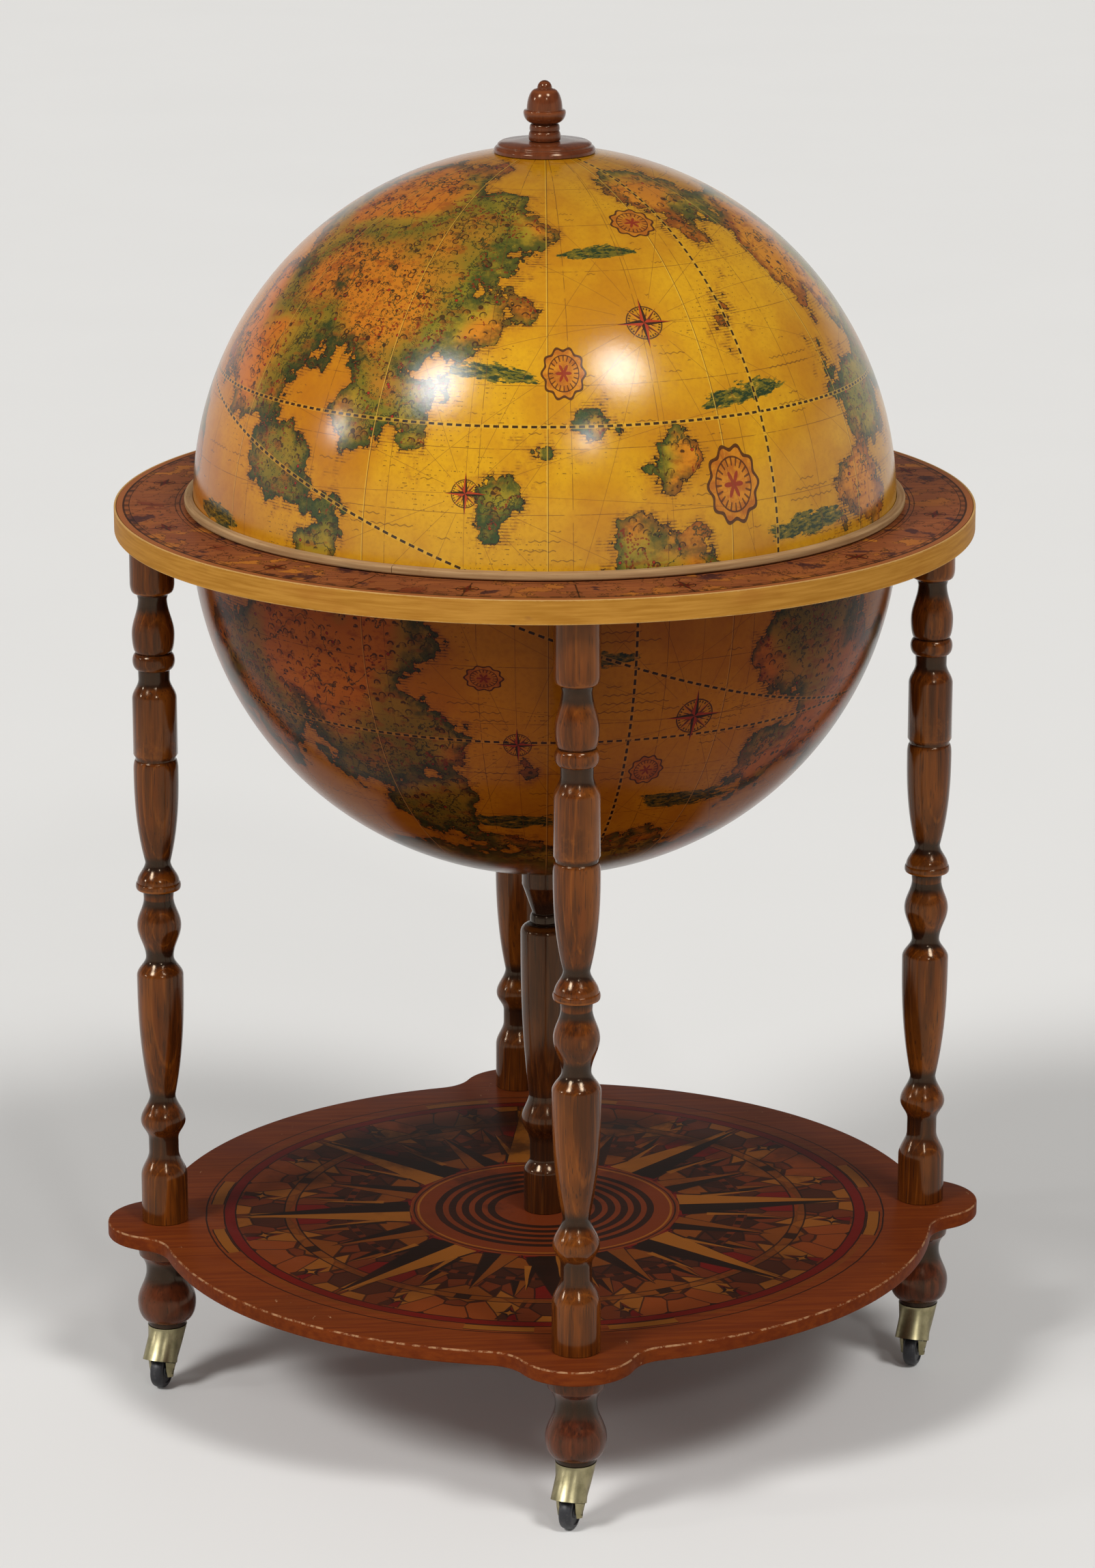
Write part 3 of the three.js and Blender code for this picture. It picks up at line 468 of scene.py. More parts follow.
def ring_finish():
    """The ring's top: a worn printed scale with small wind stars and clouded fields between radial lines."""
    finish = Finish("ring_print", SATIN, coverage=0.85)
    paint = finish.paint
    place = finish.place
    x, y, _ = place.parts()
    streaks, clouds = board_grain(finish)
    disc = Rosette(finish, x, y)
    grain = (streaks * 0.5 + clouds * 0.5).fade(0.36, 0.64)
    board = finish.mix(grain, (0.16, 0.044, 0.016), (0.25, 0.075, 0.022))
    fields = place.noise(42, 6, 0.62)
    warmth = place.noise(9, 2)
    islands = fields.fade(0.5, 0.56)
    finish.colour = finish.mix(islands * warmth.fade(0.45, 0.6), board, (0.36, 0.12, 0.018))
    paint(line(fields - 0.53, 0.016), INK_AND_SHADE, 0.8)
    blots = place.mapped(shift=(0.4, 0.2, 0)).noise(30, 7, 0.66)
    paint(blots.fade(0.57, 0.62), (0.035, 0.012, 0.014), 0.85)
    strokes = place.mapped(scale=(1, 0.4, 1)).noise(170, 4, 0.7)
    paint(strokes.fade(0.6, 0.66), INK_AND_SHADE, 0.6)
    paint(islands * warmth.fade(0.4, 0.34), CRIMSON, 0.6)

    middle = 0.279
    paint(line(wrapped(disc.angle, tau / 24) * disc.radius, 0.0012) * (disc.radius > 0.262), INK_AND_SHADE, 0.8)
    along, across = disc.folded(12, tau / 24)
    small = Rosette(finish, along - middle, across)
    paint(small.radius < 0.0125, board, 0.9)
    for count, turn, tip, half_width, first, second in (
        (4, pi / 4, 0.0095, 0.0026, OCHRE, UMBER),
        (4, 0.0, 0.0135, 0.0028, CRIMSON, INK_AND_SHADE),
    ):
        left, right = small.points(count, turn, 0.0, tip, half_width)
        paint(left, first)
        paint(right, second)
    paint(small.circle(0.0075, 0.0007), INK_AND_SHADE)
    paint(disc.circle(0.2592, 0.0009) + disc.circle(0.2625, 0.0006), INK_AND_SHADE)
    paint(band(disc.radius, 0.2955, 0.2985) * disc.part_of_turn(120, 0, 0.5), INK_AND_SHADE, 0.5)
    paint(disc.circle(0.2992, 0.0014) + disc.circle(0.2952, 0.0006), INK_AND_SHADE)
    paint(disc.radius > 0.3, (0.27, 0.085, 0.024), 0.9)
    return finish.done(0.32 + clouds * 0.16, streaks, 0.0001, 0.3)


def band_finish():
    """The veneer strip round the ring: golden, grained along its length, rubbed on both edges."""
    finish = Finish("edge_veneer", SATIN)
    x, y, z = finish.place.parts()
    around = finish.maths("ARCTAN2", y, x) * RING_RADIUS
    strip = finish.joined(around * 0.05, z, 0)
    streaks = strip.noise(420, 4, 0.6)
    clouds = finish.joined(around * 0.35, z).noise(36, 3, 0.6)
    finish.colour = finish.mix(streaks.fade(0.3, 0.7), (0.31, 0.135, 0.018), (0.42, 0.2, 0.034))
    finish.paint(clouds.fade(0.48, 0.72), (0.3, 0.11, 0.018), 0.5)
    from_edge = finish.maths("MINIMUM", z - ring_bottom, ring_top - z)
    chips = finish.joined(around, z).noise(260, 3, 0.7)
    rubbed = (from_edge + (chips - 0.5) * 0.0016).fade(0.0009, 0.0002)
    finish.paint(rubbed, (0.5, 0.31, 0.12), 0.6)
    stains = finish.joined(around * 0.5, z).noise(90, 2, 0.6).fade(0.66, 0.78)
    finish.paint(stains, (0.2, 0.08, 0.025), 0.5)
    return finish.done(0.34 + streaks * 0.12, streaks, 0.0001, 0.3)


def trim_finish():
    """The pale bent strip at the foot of the lid."""
    finish = Finish("trim_wood", SATIN)
    x, y, z = finish.place.parts()
    around = finish.maths("ARCTAN2", y, x) * GLOBE_RADIUS
    streaks = finish.joined(around * 0.04, z, finish.maths("SQRT", x * x + y * y)).noise(520, 4, 0.6)
    grime = finish.joined(around, z * 0.5).noise(60, 4, 0.7)
    finish.colour = finish.mix(streaks.fade(0.3, 0.7), (0.27, 0.15, 0.065), (0.4, 0.25, 0.12))
    finish.paint(grime.fade(0.55, 0.75), (0.25, 0.12, 0.045), 0.45)
    return finish.done(0.42 + streaks * 0.1, streaks, 0.0001, 0.3)


# Finishes: the two printed globe halves


def direction(longitude, latitude):
    """Unit vector toward a place: longitude in degrees from the front toward +X, latitude above the ring."""
    east, north = radians(longitude), radians(latitude)
    return Vector((sin(east) * cos(north), -cos(east) * cos(north), sin(north)))


def globe_finish(name, centre, lands, swells, roses, emblems, dashed_planes, shade_tint, gloss):
    """A map of made up lands: coasts, hills, rivers, a grid, dashed circles, wind stars and emblems."""
    finish = Finish(name, {"IOR": gloss})
    paint = finish.paint
    way = finish.vector("NORMALIZE", finish.vector("SUBTRACT", finish.place, centre))
    x, y, z = way.parts()
    latitude = finish.maths("ARCSINE", z)
    longitude = finish.maths("ARCTAN2", x, -y)
    across_pole = finish.maths("SQRT", x * x + y * y)

    def seen_from(east, north):
        """Distances right and up from a place on the globe, and straight from it."""
        heart = direction(east, north)
        right = Vector((cos(radians(east)), sin(radians(east)), 0))
        from_heart = finish.vector("SUBTRACT", way, heart)
        u = finish.vector("DOT_PRODUCT", from_heart, right)
        v = finish.vector("DOT_PRODUCT", from_heart, right.cross(-heart))
        return u, v, finish.vector("LENGTH", from_heart)

    reach = None
    for east, north, size in lands:
        lobe = size - finish.vector("DISTANCE", way, direction(east, north))
        reach = lobe if reach is None else finish.maths("SMOOTH_MAX", reach, lobe, 0.07)
    ragged = way.noise(5.5, 9, 0.6)
    nicks = way.noise(26, 5, 0.65)
    coast = reach + (ragged - 0.5) * 0.5 + (nicks - 0.5) * 0.08
    land = coast.fade(-0.0012, 0.0012)

    age = way.noise(2.3, 4, 0.6)
    paper = way.noise(75, 4, 0.6)
    fibres = way.noise(320, 3, 0.6)
    sea = finish.mix(age.fade(0.38, 0.66), (0.56, 0.285, 0.008), (0.43, 0.175, 0.006))
    finish.colour = finish.mix(paper.fade(0.4, 0.72) * 0.3, sea, (0.34, 0.13, 0.006))

    off_shore = coast.fade(-0.06, -0.002) * (1 - land)
    paint(off_shore * paper.fade(0.3, 0.6), (0.36, 0.14, 0.01), 0.6)
    strokes = (latitude * 118) % 1
    shore_lines = (strokes < 0.36) * coast.fade(-0.036, -0.006) * (1 - land) * (nicks > 0.42)
    paint(shore_lines, (0.08, 0.03, 0.008), 0.75)

    region = way.mapped(shift=(3.1, 1.7, 0.4)).noise(2.1, 3, 0.5)
    land_tints = finish.ramp(
        region,
        [
            (0.36, (0.55, 0.2, 0.012)),
            (0.44, (0.5, 0.17, 0.01)),
            (0.5, (0.3, 0.21, 0.014)),
            (0.58, (0.12, 0.13, 0.012)),
            (0.68, (0.46, 0.17, 0.012)),
        ],
    )
    paint(land, land_tints, 0.9)
    blotches = way.mapped(scale=(1, 1, 2.2)).noise(17, 6, 0.68)
    paint(land * blotches.fade(0.5, 0.62), (0.26, 0.06, 0.006), 0.6)
    shore_stops = [(0.4, (0.2, 0.05, 0.006)), (0.46, (0.05, 0.06, 0.01)), (0.6, (0.012, 0.04, 0.012))]
    shore = finish.ramp(region, shore_stops)
    paint(land * coast.fade(0.075, 0.008) * nicks.fade(0.28, 0.5), shore, 0.92)

    rivers = line(way.mapped(shift=(7.7, 2.2, 5.1)).noise(4.6, 7, 0.55) - 0.5, 0.0095)
    paint(land * rivers * (coast > 0.006), (0.03, 0.035, 0.01), 0.85)
    borders = line(way.mapped(shift=(1.3, 9.2, 4.4)).noise(3.4, 4, 0.5) - 0.52, 0.012)
    dots = way.cells(120)
    paint(land * borders * (dots < 0.45), (0.18, 0.015, 0.005), 0.8)

    hill_cells = way.cells(34, "Position")
    from_hill = finish.vector("SUBTRACT", way, hill_cells)
    hill_size = finish.vector("LENGTH", from_hill)
    hill_x, hill_y, hill_z = from_hill.parts()
    ranges = blotches.fade(0.42, 0.5) * (coast > 0.015)
    paint(land * ranges * line(hill_size - 0.0105, 0.0034) * (hill_z > -0.002), (0.04, 0.015, 0.005), 0.9)
    shaded = (((hill_x + hill_y + hill_z) * 700) % 1 < 0.5) * (hill_size < 0.0095) * (hill_x > 0.001)
    paint(land * ranges * shaded, (0.05, 0.02, 0.006), 0.8)
    trees = way.cells(88)
    tufts = line(trees - 0.3, 0.12) * (coast > 0.01)
    paint(land * region.fade(0.5, 0.56) * tufts, (0.015, 0.03, 0.008), 0.75)
    towns = way.cells(21)
    paint(land * (towns < 0.085) * (coast > 0.012), (0.3, 0.015, 0.008), 0.9)
    paint(land * line(towns - 0.095, 0.026) * (coast > 0.012), INK_AND_SHADE, 0.9)
    hatch_spots = finish.joined(longitude * 58, latitude * 20).noise(1, 3, 0.8)
    hatching = ((latitude * 74) % 1 < 0.2) * (hatch_spots > 0.57)
    paint(hatching * coast.fade(-0.22, -0.1) * age.fade(0.5, 0.44), (0.05, 0.02, 0.006), 0.7)
    paint(line(coast, 0.0075), (0.02, 0.012, 0.006), 0.95)

    ripple = finish.maths("SINE", longitude * 260) * 0.0021
    ripple_rows = line(wrapped(latitude + ripple, radians(1.5)), 0.0034)
    ripple_spots = finish.joined(longitude * 4.6, latitude * 12, 3.3).noise(1, 3, 0.6)
    paint(ripple_rows * (ripple_spots > 0.6) * (coast < -0.05), (0.09, 0.035, 0.008), 0.6)

    for east, north, width, height, tilt in swells:
        u, v, away = seen_from(east, north)
        v = v - u * tilt
        wave = finish.joined(u * 0.35, v, east / 10).noise(105, 4, 0.65)
        tatters = finish.joined(u * 0.5, v * 1.4, east / 7).noise(26, 4, 0.7)
        oval = (u / width) * (u / width) + (v / height) * (v / height)
        inside = (oval + (tatters - 0.5) * 4.4).fade(1.06, 0.9) * (away < width * 1.8)
        inside = inside * (1 - land)
        paint(inside, (0.07, 0.085, 0.012), 0.85)
        paint(inside * wave.fade(0.48, 0.54), (0.012, 0.03, 0.012), 0.92)
        paint(inside * wave.fade(0.4, 0.36), (0.4, 0.23, 0.016), 0.8)

    grid = line(wrapped(longitude, radians(15)) * across_pole, 0.0019)
    grid = grid + line(wrapped(latitude, radians(10)), 0.0019)
    paint(finish.maths("MINIMUM", grid, 1) * nicks.fade(0.36, 0.5), (0.12, 0.045, 0.008), 0.7)
    seam = wrapped(longitude + radians(4), radians(30)) * across_pole
    paint(line(seam, 0.0026), (0.66, 0.42, 0.05), 0.55)
    paint(line(seam - 0.0026, 0.002), (0.07, 0.025, 0.008), 0.75)

    for normal, first, width in dashed_planes:
        pole = Vector(normal).normalized()
        start = pole.orthogonal().normalized()
        offset = finish.vector("DOT_PRODUCT", way, pole) - first
        turn = finish.maths(
            "ARCTAN2",
            finish.vector("DOT_PRODUCT", way, pole.cross(start)),
            finish.vector("DOT_PRODUCT", way, start),
        )
        paint(line(offset, width * 1.2), (0.6, 0.34, 0.03), 0.5)
        paint(line(offset, width * 0.76) * ((turn * 36) % 1 < 0.62), (0.02, 0.01, 0.005), 0.97)

    for east, north, width, height in emblems:
        u, v, away = seen_from(east, north)
        frame_ring = Rosette(finish, u / width, v / height)
        rim = 1 + finish.maths("COSINE", frame_ring.angle * 10) * 0.07
        near = away < 0.4
        depth = (rim - frame_ring.radius) * near
        paint(depth > 0, (0.5, 0.17, 0.012), 0.7)
        paint((depth > 0) * nicks.fade(0.4, 0.6), (0.3, 0.07, 0.008), 0.7)
        paint(near * line(rim - frame_ring.radius, 0.11), (0.05, 0.015, 0.005), 0.92)
        paint(near * line(frame_ring.radius - 0.74, 0.05), (0.06, 0.018, 0.005), 0.9)
        spokes = line(wrapped(frame_ring.angle, tau / 20), 0.1) * band(frame_ring.radius, 0.5, 0.74)
        paint(near * spokes, (0.07, 0.02, 0.006), 0.85)
        petals = frame_ring.radius < 0.26 + finish.maths("COSINE", frame_ring.angle * 6) * 0.14
        paint(near * petals, (0.22, 0.02, 0.008), 0.9)

    for east, north, size in roses:
        u, v, away = seen_from(east, north)
        rose = Rosette(finish, u, v)
        near = away < 0.75
        rays = line(wrapped(rose.angle, tau / 16) * rose.radius, 0.0015)
        paint(rays * near * (rose.radius > size) * (1 - land), (0.16, 0.06, 0.01), 0.6)
        on_face = near * (rose.radius < size * 1.3)
        paint(on_face * line(rose.radius - size * 0.62, size * 0.05), (0.06, 0.024, 0.008), 0.95)
        scale_marks = band(rose.radius, size * 0.5, size * 0.58) * rose.part_of_turn(32, 0, 0.5)
        paint(on_face * scale_marks, INK_AND_SHADE, 0.85)
        for count, turn, tip, half_width, first_tint, second_tint in (
            (8, radians(22.5), 0.5, 0.07, (0.3, 0.09, 0.01), INK_AND_SHADE),
            (4, radians(45), 0.78, 0.12, (0.5, 0.18, 0.012), (0.1, 0.02, 0.008)),
            (4, 0.0, 1.0, 0.13, (0.35, 0.035, 0.01), INK_AND_SHADE),
        ):
            left, right_half = rose.points(count, turn, 0.0, size * tip, size * half_width)
            paint(on_face * left, first_tint, 0.95)
            paint(on_face * right_half, second_tint, 0.95)

    # Painted shade: the left side darker and redder.
    shaded_reddened_left = finish.vector("DOT_PRODUCT", way, (-0.86, -0.05, 0.5)).fade(0.45, 1.05)
    paint(shaded_reddened_left, (0.84, 0.52, 0.4), 0.75, "MULTIPLY")
    # Painted shade: darker toward the top.
    darker_top_shade = latitude.fade(radians(34), radians(80))
    paint(darker_top_shade, (0.74, 0.69, 0.56), 1, "MULTIPLY")
    # Painted shade over the whole print: none on the lid, darker and browner on the bowl.
    paint(1, shade_tint, 1, "MULTIPLY")
    relief = paper * 0.6 + fibres * 0.4 + line(seam, 0.0032) * 0.5
    return finish.done(0.11 + paper * 0.12, relief, 0.00016, 0.4)


lid_lands = [
    (-62, 60, 0.3), (-38, 47, 0.3), (-66, 36, 0.26), (-24, 60, 0.16),
    (-34, 26, 0.13), (-52, 14, 0.12), (-44, 2, 0.1),
    (74, 52, 0.22), (88, 34, 0.3), (66, 22, 0.16), (58, 8, 0.12), (44, 66, 0.13),
    (12, -3, 0.17), (28, -8, 0.14), (-4, 20, 0.05), (4, 24, 0.045),
    (17, 17, 0.05), (37, 40, 0.035), (-12, 11, 0.045),
    (150, 42, 0.36), (-142, 28, 0.34), (124, 8, 0.17), (180, 6, 0.2),
    (-112, 58, 0.2), (-96, 10, 0.2), (170, 70, 0.16),
]
lid_swells = [
    (33, 27, 0.14, 0.03, 0.1),
    (-14, 32, 0.12, 0.026, -0.12),
    (42, 5, 0.14, 0.032, 0.06),
    (-70, 3, 0.11, 0.03, -0.05),
    (10, 54, 0.1, 0.024, 0.05),
    (-170, 30, 0.13, 0.03, 0.1),
    (136, 24, 0.12, 0.03, -0.1),
]
lid_roses = [(16, 40, 0.08), (-17, 13, 0.06), (112, 40, 0.09), (-170, 50, 0.09)]
lid_emblems = [
    (27, 13, 0.075, 0.1),
    (-1, 32, 0.055, 0.07),
    (24, 60, 0.06, 0.055),
    (-86, 10, 0.07, 0.06),
    (146, 8, 0.08, 0.07),
]
lid_planes = [
    ((0, 0, 1), 0.3987, 0.0085),
    ((0.33, -0.13, 0.94), 0.05, 0.0095),
    ((0.82, 0.57, 0.0), 0.0, 0.0095),
]
bowl_lands = [
    (-42, -6, 0.3), (-34, -24, 0.22), (-28, -38, 0.14), (-62, -20, 0.24),
    (44, -8, 0.22), (58, -24, 0.24), (40, -34, 0.12),
    (4, -78, 0.5), (14, -60, 0.14), (-6, -30, 0.04),
    (160, -20, 0.34), (-130, -14, 0.28), (115, -34, 0.16), (-170, -44, 0.16),
]
bowl_swells = [
    (-10, -42, 0.13, 0.032, 0.05),
    (24, -38, 0.14, 0.032, -0.04),
    (4, -9, 0.1, 0.024, 0.1),
    (84, -20, 0.13, 0.03, 0.1),
    (-95, -30, 0.13, 0.03, 0.1),
]
bowl_roses = [(21, -20, 0.085), (-9, -24, 0.06), (88, -38, 0.09), (-160, -10, 0.09)]
bowl_emblems = [(14, -30, 0.045, 0.05), (-14, -12, 0.05, 0.035), (128, -14, 0.06, 0.05)]
bowl_planes = [
    ((0, 0, 1), -0.3987, 0.0085),
    ((0.36, -0.05, 0.93), -0.06, 0.0095),
    ((0.97, 0.2, 0.0), -0.03, 0.0095),
]

lid_art = (lid_lands, lid_swells, lid_roses, lid_emblems, lid_planes)
lid_map = globe_finish("lid_map", (0, 0, ring_top), *lid_art, shade_tint=(1, 1, 1), gloss=1.4)
bowl_art = (bowl_lands, bowl_swells, bowl_roses, bowl_emblems, bowl_planes)
# The bowl's print takes the lid's colours made darker and browner, as painted shade under the ring.
bowl_map = globe_finish("bowl_map", (0, 0, ring_bottom), *bowl_art, shade_tint=(0.37, 0.205, 0.31), gloss=1.16)

# Finishes: metal, rubber, lining and moulding


def aged_brass(name, bright, dull):
    finish = Finish(name, {"Metallic": 1.0})
    clouds = finish.place.noise(130, 4, 0.6)
    specks = finish.place.noise(900, 2, 0.6)
    finish.colour = finish.mix(clouds.fade(0.36, 0.68), bright, dull)
    finish.paint(specks.fade(0.62, 0.72), (0.16, 0.13, 0.07), 0.4)
    return finish.done(0.26 + clouds * 0.2, specks, 0.00006, 0.3)


def plated_steel():
    finish = Finish("plated_steel", {"Metallic": 1.0})
    brushed = finish.place.mapped(scale=(1, 1, 0.1)).noise(700, 3, 0.6)
    finish.colour = finish.mix(brushed.fade(0.3, 0.7), (0.3, 0.3, 0.29), (0.48, 0.48, 0.46))
    return finish.done(0.3 + brushed * 0.15, brushed, 0.00005, 0.3)


def wheel_rubber():
    finish = Finish("wheel_rubber", {})
    dust = finish.place.noise(240, 4, 0.65)
    finish.colour = finish.mix(dust.fade(0.5, 0.75), (0.01, 0.01, 0.013), (0.035, 0.033, 0.034))
    return finish.done(0.34 + dust * 0.2, dust, 0.0001, 0.3)


def soft_lining(name, dark, light, roughness):
    """A moulded surface with a fine even grain."""
    finish = Finish(name, {})
    cells = finish.place.cells(900)
    clouds = finish.place.noise(26, 3, 0.6)
    finish.colour = finish.mix(clouds.fade(0.35, 0.7), dark, light)
    return finish.done(roughness + cells * 0.1, cells, 0.00012, 0.45)


caster_brass = aged_brass("caster_brass", (0.36, 0.315, 0.18), (0.25, 0.22, 0.12))
hinge_brass = aged_brass("hinge_brass", (0.66, 0.48, 0.21), (0.48, 0.34, 0.14))
steel = plated_steel()
rubber = wheel_rubber()
moulding = soft_lining("moulding", (0.06, 0.022, 0.01), (0.095, 0.036, 0.015), 0.4)
lining = soft_lining("lining", (0.115, 0.045, 0.02), (0.16, 0.066, 0.028), 0.55)
shelf_print = shelf_finish()
ring_print = ring_finish()
edge_veneer = band_finish()
trim_wood = trim_finish()

# Shaping

bodies = frame["record"]["behaviour"]["bodies"]
body_of_node = {node: body for body, nodes in bodies.items() for node in nodes}
slot_of_node = {entry["node"]: entry["material_slot"] for entry in frame["record"]["subparts"]}


def made_object(name, shape, finishes=()):
    """A mesh object of a finished shape, in the scene."""
    mesh = bpy.data.meshes.new(name)
    shape.to_mesh(mesh)
    shape.free()
    for finish in finishes:
        mesh.materials.append(finish)
    thing = bpy.data.objects.new(name, mesh)
    bpy.context.scene.collection.objects.link(thing)
    return thing


def piece(name, shape, nodes, finishes, edge=None, sharp=32):
    """Makes the object of a finished shape and lets it stand for its nodes."""
    thing = made_object(name, shape, finishes)
    thing.data.shade_smooth()
    thing.data.set_sharp_from_angle(angle=radians(sharp))
    if edge:
        bevel = thing.modifiers.new("edges", "BEVEL")
        bevel.width = edge
        bevel.segments = 2
        bevel.limit_method = "ANGLE"
        bevel.angle_limit = radians(sharp)
        bevel.harden_normals = True
    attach(thing, body_of_node[nodes[0]])
    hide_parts(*nodes)


def tidied(shape):
    bmesh.ops.remove_doubles(shape, verts=shape.verts, dist=FINE)
    bmesh.ops.recalc_face_normals(shape, faces=shape.faces)
    return shape


def spun(outline, closed=False, flats=96, turn=tau):
    """Spins an outline of (radius, height) points about the upright axis."""
    shape = bmesh.new()
    points = [shape.verts.new((radius, 0, height)) for radius, height in outline]
    pairs = list(zip(points, points[1:]))
    if closed:
        pairs.append((points[-1], points[0]))
    lines = [shape.edges.new(pair) for pair in pairs]
    bmesh.ops.spin(
        shape,
        geom=points + lines,
        cent=(0, 0, 0),
        axis=(0, 0, 1),
        angle=turn,
        steps=flats,
        use_merge=turn == tau,
    )
    return tidied(shape)


def set_down(shape, place, turn=0.0):
    bmesh.ops.transform(
        shape, matrix=Matrix.Translation(place) @ Matrix.Rotation(turn, 4, "Z"), verts=shape.verts
    )
    return shape


def rounded(shape, edges, offset, segments):
    """Rounds edges of a shape."""
    sizes = {"offset": offset, "segments": segments, "profile": 0.5}
    bmesh.ops.bevel(shape, geom=edges, affect="EDGES", material=-1, **sizes)


def hoop_section(inner, outer, low, high):
    return [(inner, low), (outer, low), (outer, high), (inner, high)]


def plug_outline(low, low_radius, high, high_radius):
    """Outline of a solid round plug."""
    return [(0, low), (low_radius, low), (high_radius, high), (0, high)]


def arc(centre, radius, start, end, steps):
    """Points from one angle to another, in degrees, about a centre in the outline's plane."""
    points = []
    for step in range(steps + 1):
        angle = radians(start + (end - start) * step / steps)
        points.append((centre[0] + radius * cos(angle), centre[1] + radius * sin(angle)))
    return points


def carved(solid, joins=(), cuts=()):
    """Joins shapes to a solid, then cuts shapes from it."""
    main = made_object("helper", solid)
    helpers = [main]
    for operation, shapes in (("UNION", joins), ("DIFFERENCE", cuts)):
        for shape in shapes:
            step = main.modifiers.new(operation, "BOOLEAN")
            step.operation = operation
            step.solver = "MANIFOLD"
            step.object = made_object("helper", shape)
            helpers.append(step.object)
    bpy.context.view_layer.update()
    result = bmesh.new()
    result.from_object(main, bpy.context.evaluated_depsgraph_get())
    for thing in helpers:
        bpy.data.objects.remove(thing)
    return result


# Turned wood

VASE_POWER = 2.5
TOOL_MOVES = {
    "line": (1, lambda t: (t, t, 0)),
    "bead": (14, lambda t: ((1 - cos(pi * t)) / 2, t, sin(pi * t))),
    "round": (8, lambda t: (sin(pi / 2 * t), 1 - cos(pi / 2 * t), 0)),
    "rise": (8, lambda t: (1 - cos(pi / 2 * t), sin(pi / 2 * t), 0)),
    "ogee": (12, lambda t: (t, (1 - cos(pi * t)) / 2, 0)),
    "taper": (12, lambda t: (t, t**VASE_POWER, 0)),
    "swell": (12, lambda t: (t, 1 - (1 - t) ** VASE_POWER, 0)),
}

LEG_START_SHARE = 1
LEG_MOVE_SHARES = [
    ("line", 0.066, 0.995),
    ("ogee", 0.102, 0.64),
    ("line", 0.121, 0.64),
    ("ogee", 0.148, 0.965),
    ("ogee", 0.186, 0.55),
    ("swell", 0.362, 0.995),
    ("ogee", 0.389, 0.594),
    ("ogee", 0.435, 0.94),
    ("ogee", 0.475, 0.635),
    ("line", 0.4846, 0.66),
    ("line", 0.4875, 0.9),
    ("bead", 0.4975, 0.9, 0.06),
    ("ogee", 0.527, 0.54),
    ("swell", 0.661, 0.95),
    ("round", 0.6745, 0.85),
    ("line", 0.6775, 0.85),
    ("line", 0.6825, 0.94),
    ("line", 0.7615, 0.94),
    ("ogee", 0.789, 0.66),
    ("line", 0.8025, 0.67),
    ("bead", 0.8265, 0.72, 0.2),
    ("rise", 0.853, 0.9),
    ("ogee", 0.902, 0.61),
    ("line", 0.9085, 0.66),
    ("line", 0.9115, 0.8),
    ("rise", 0.9255, 0.94),
    ("line", 1, 0.94),
]
COLUMN_START_SHARE = 0.88
COLUMN_MOVE_SHARES = [
    ("line", 0.112, 0.88),
    ("ogee", 0.15, 0.62),
    ("line", 0.2, 0.62),
    ("ogee", 0.262, 0.98),
    ("ogee", 0.335, 0.66),
    ("swell", 0.8, 1),
    ("round", 0.826, 0.55),
    ("bead", 0.855, 0.5, 0.08),
    ("line", 0.931, 0.9),
    ("line", 0.937, 0.94),
    ("line", 1, 0.94),
]
FOOT_START_SHARE = 0.65
FOOT_MOVE_SHARES = [
    ("line", 0.05, 0.66),
    ("rise", 0.255, 1),
    ("ogee", 0.6, 0.685),
    ("taper", 0.78, 0.92),
    ("line", 0.9, 0.98),
    ("line", 1, 0.95),
]
KNOB_START_SHARE = 0.7
KNOB_MOVE_SHARES = [
    ("bead", 0.157, 0.67, 0.07),
    ("bead", 0.278, 0.63, 0.06),
    ("line", 0.295, 0.59),
    ("rise", 0.475, 1),
    ("line", 0.505, 0.97),
    ("line", 0.515, 0.84),
    ("round", 0.857, 0.41),
    ("line", 0.866, 0.35),
    ("round", 1, 0),
]


def turned_outline(length, radius, start_share, moves):
    points = [(radius * start_share, 0.0)]
    height_share, radius_share = 0.0, start_share
    for name, end_height, end_radius, *swell in moves:
        stops, at = TOOL_MOVES[name]
        for stop in range(1, stops + 1):
            travel, blend, bulge = at(stop / stops)
            height = height_share + (end_height - height_share) * travel
            reach = radius_share + (end_radius - radius_share) * blend + (swell[0] if swell else 0) * bulge
            points.append((radius * max(reach, 0.0), length * height))
        height_share, radius_share = end_height, end_radius
    return points


# Spans and depths for the hollow and edge marks; the hollow mark sets the painted shade of the wood.
HOLLOW_SPAN = 0.015
HOLLOW_DEPTH = 0.0046
EDGE_SPAN = 0.0022
EDGE_HEIGHT = 0.0007
NEAR_STEPS = 6
TURNED_EDGE = 0.0004


def radius_near(outline, height, span):
    """Mean radius of an outline within a span of a height."""
    total = count = 0
    for step in range(-NEAR_STEPS, NEAR_STEPS + 1):
        at = min(max(height + span * step / NEAR_STEPS, outline[0][1]), outline[-1][1])
        for (r0, h0), (r1, h1) in zip(outline, outline[1:]):
            if h0 <= at <= h1 and h1 > h0:
                total += r0 + (r1 - r0) * (at - h0) / (h1 - h0)
                count += 1
                break
    return total / max(count, 1)


def height_of(node):
    low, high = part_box(node)
    return low[2], high[2] - low[2]


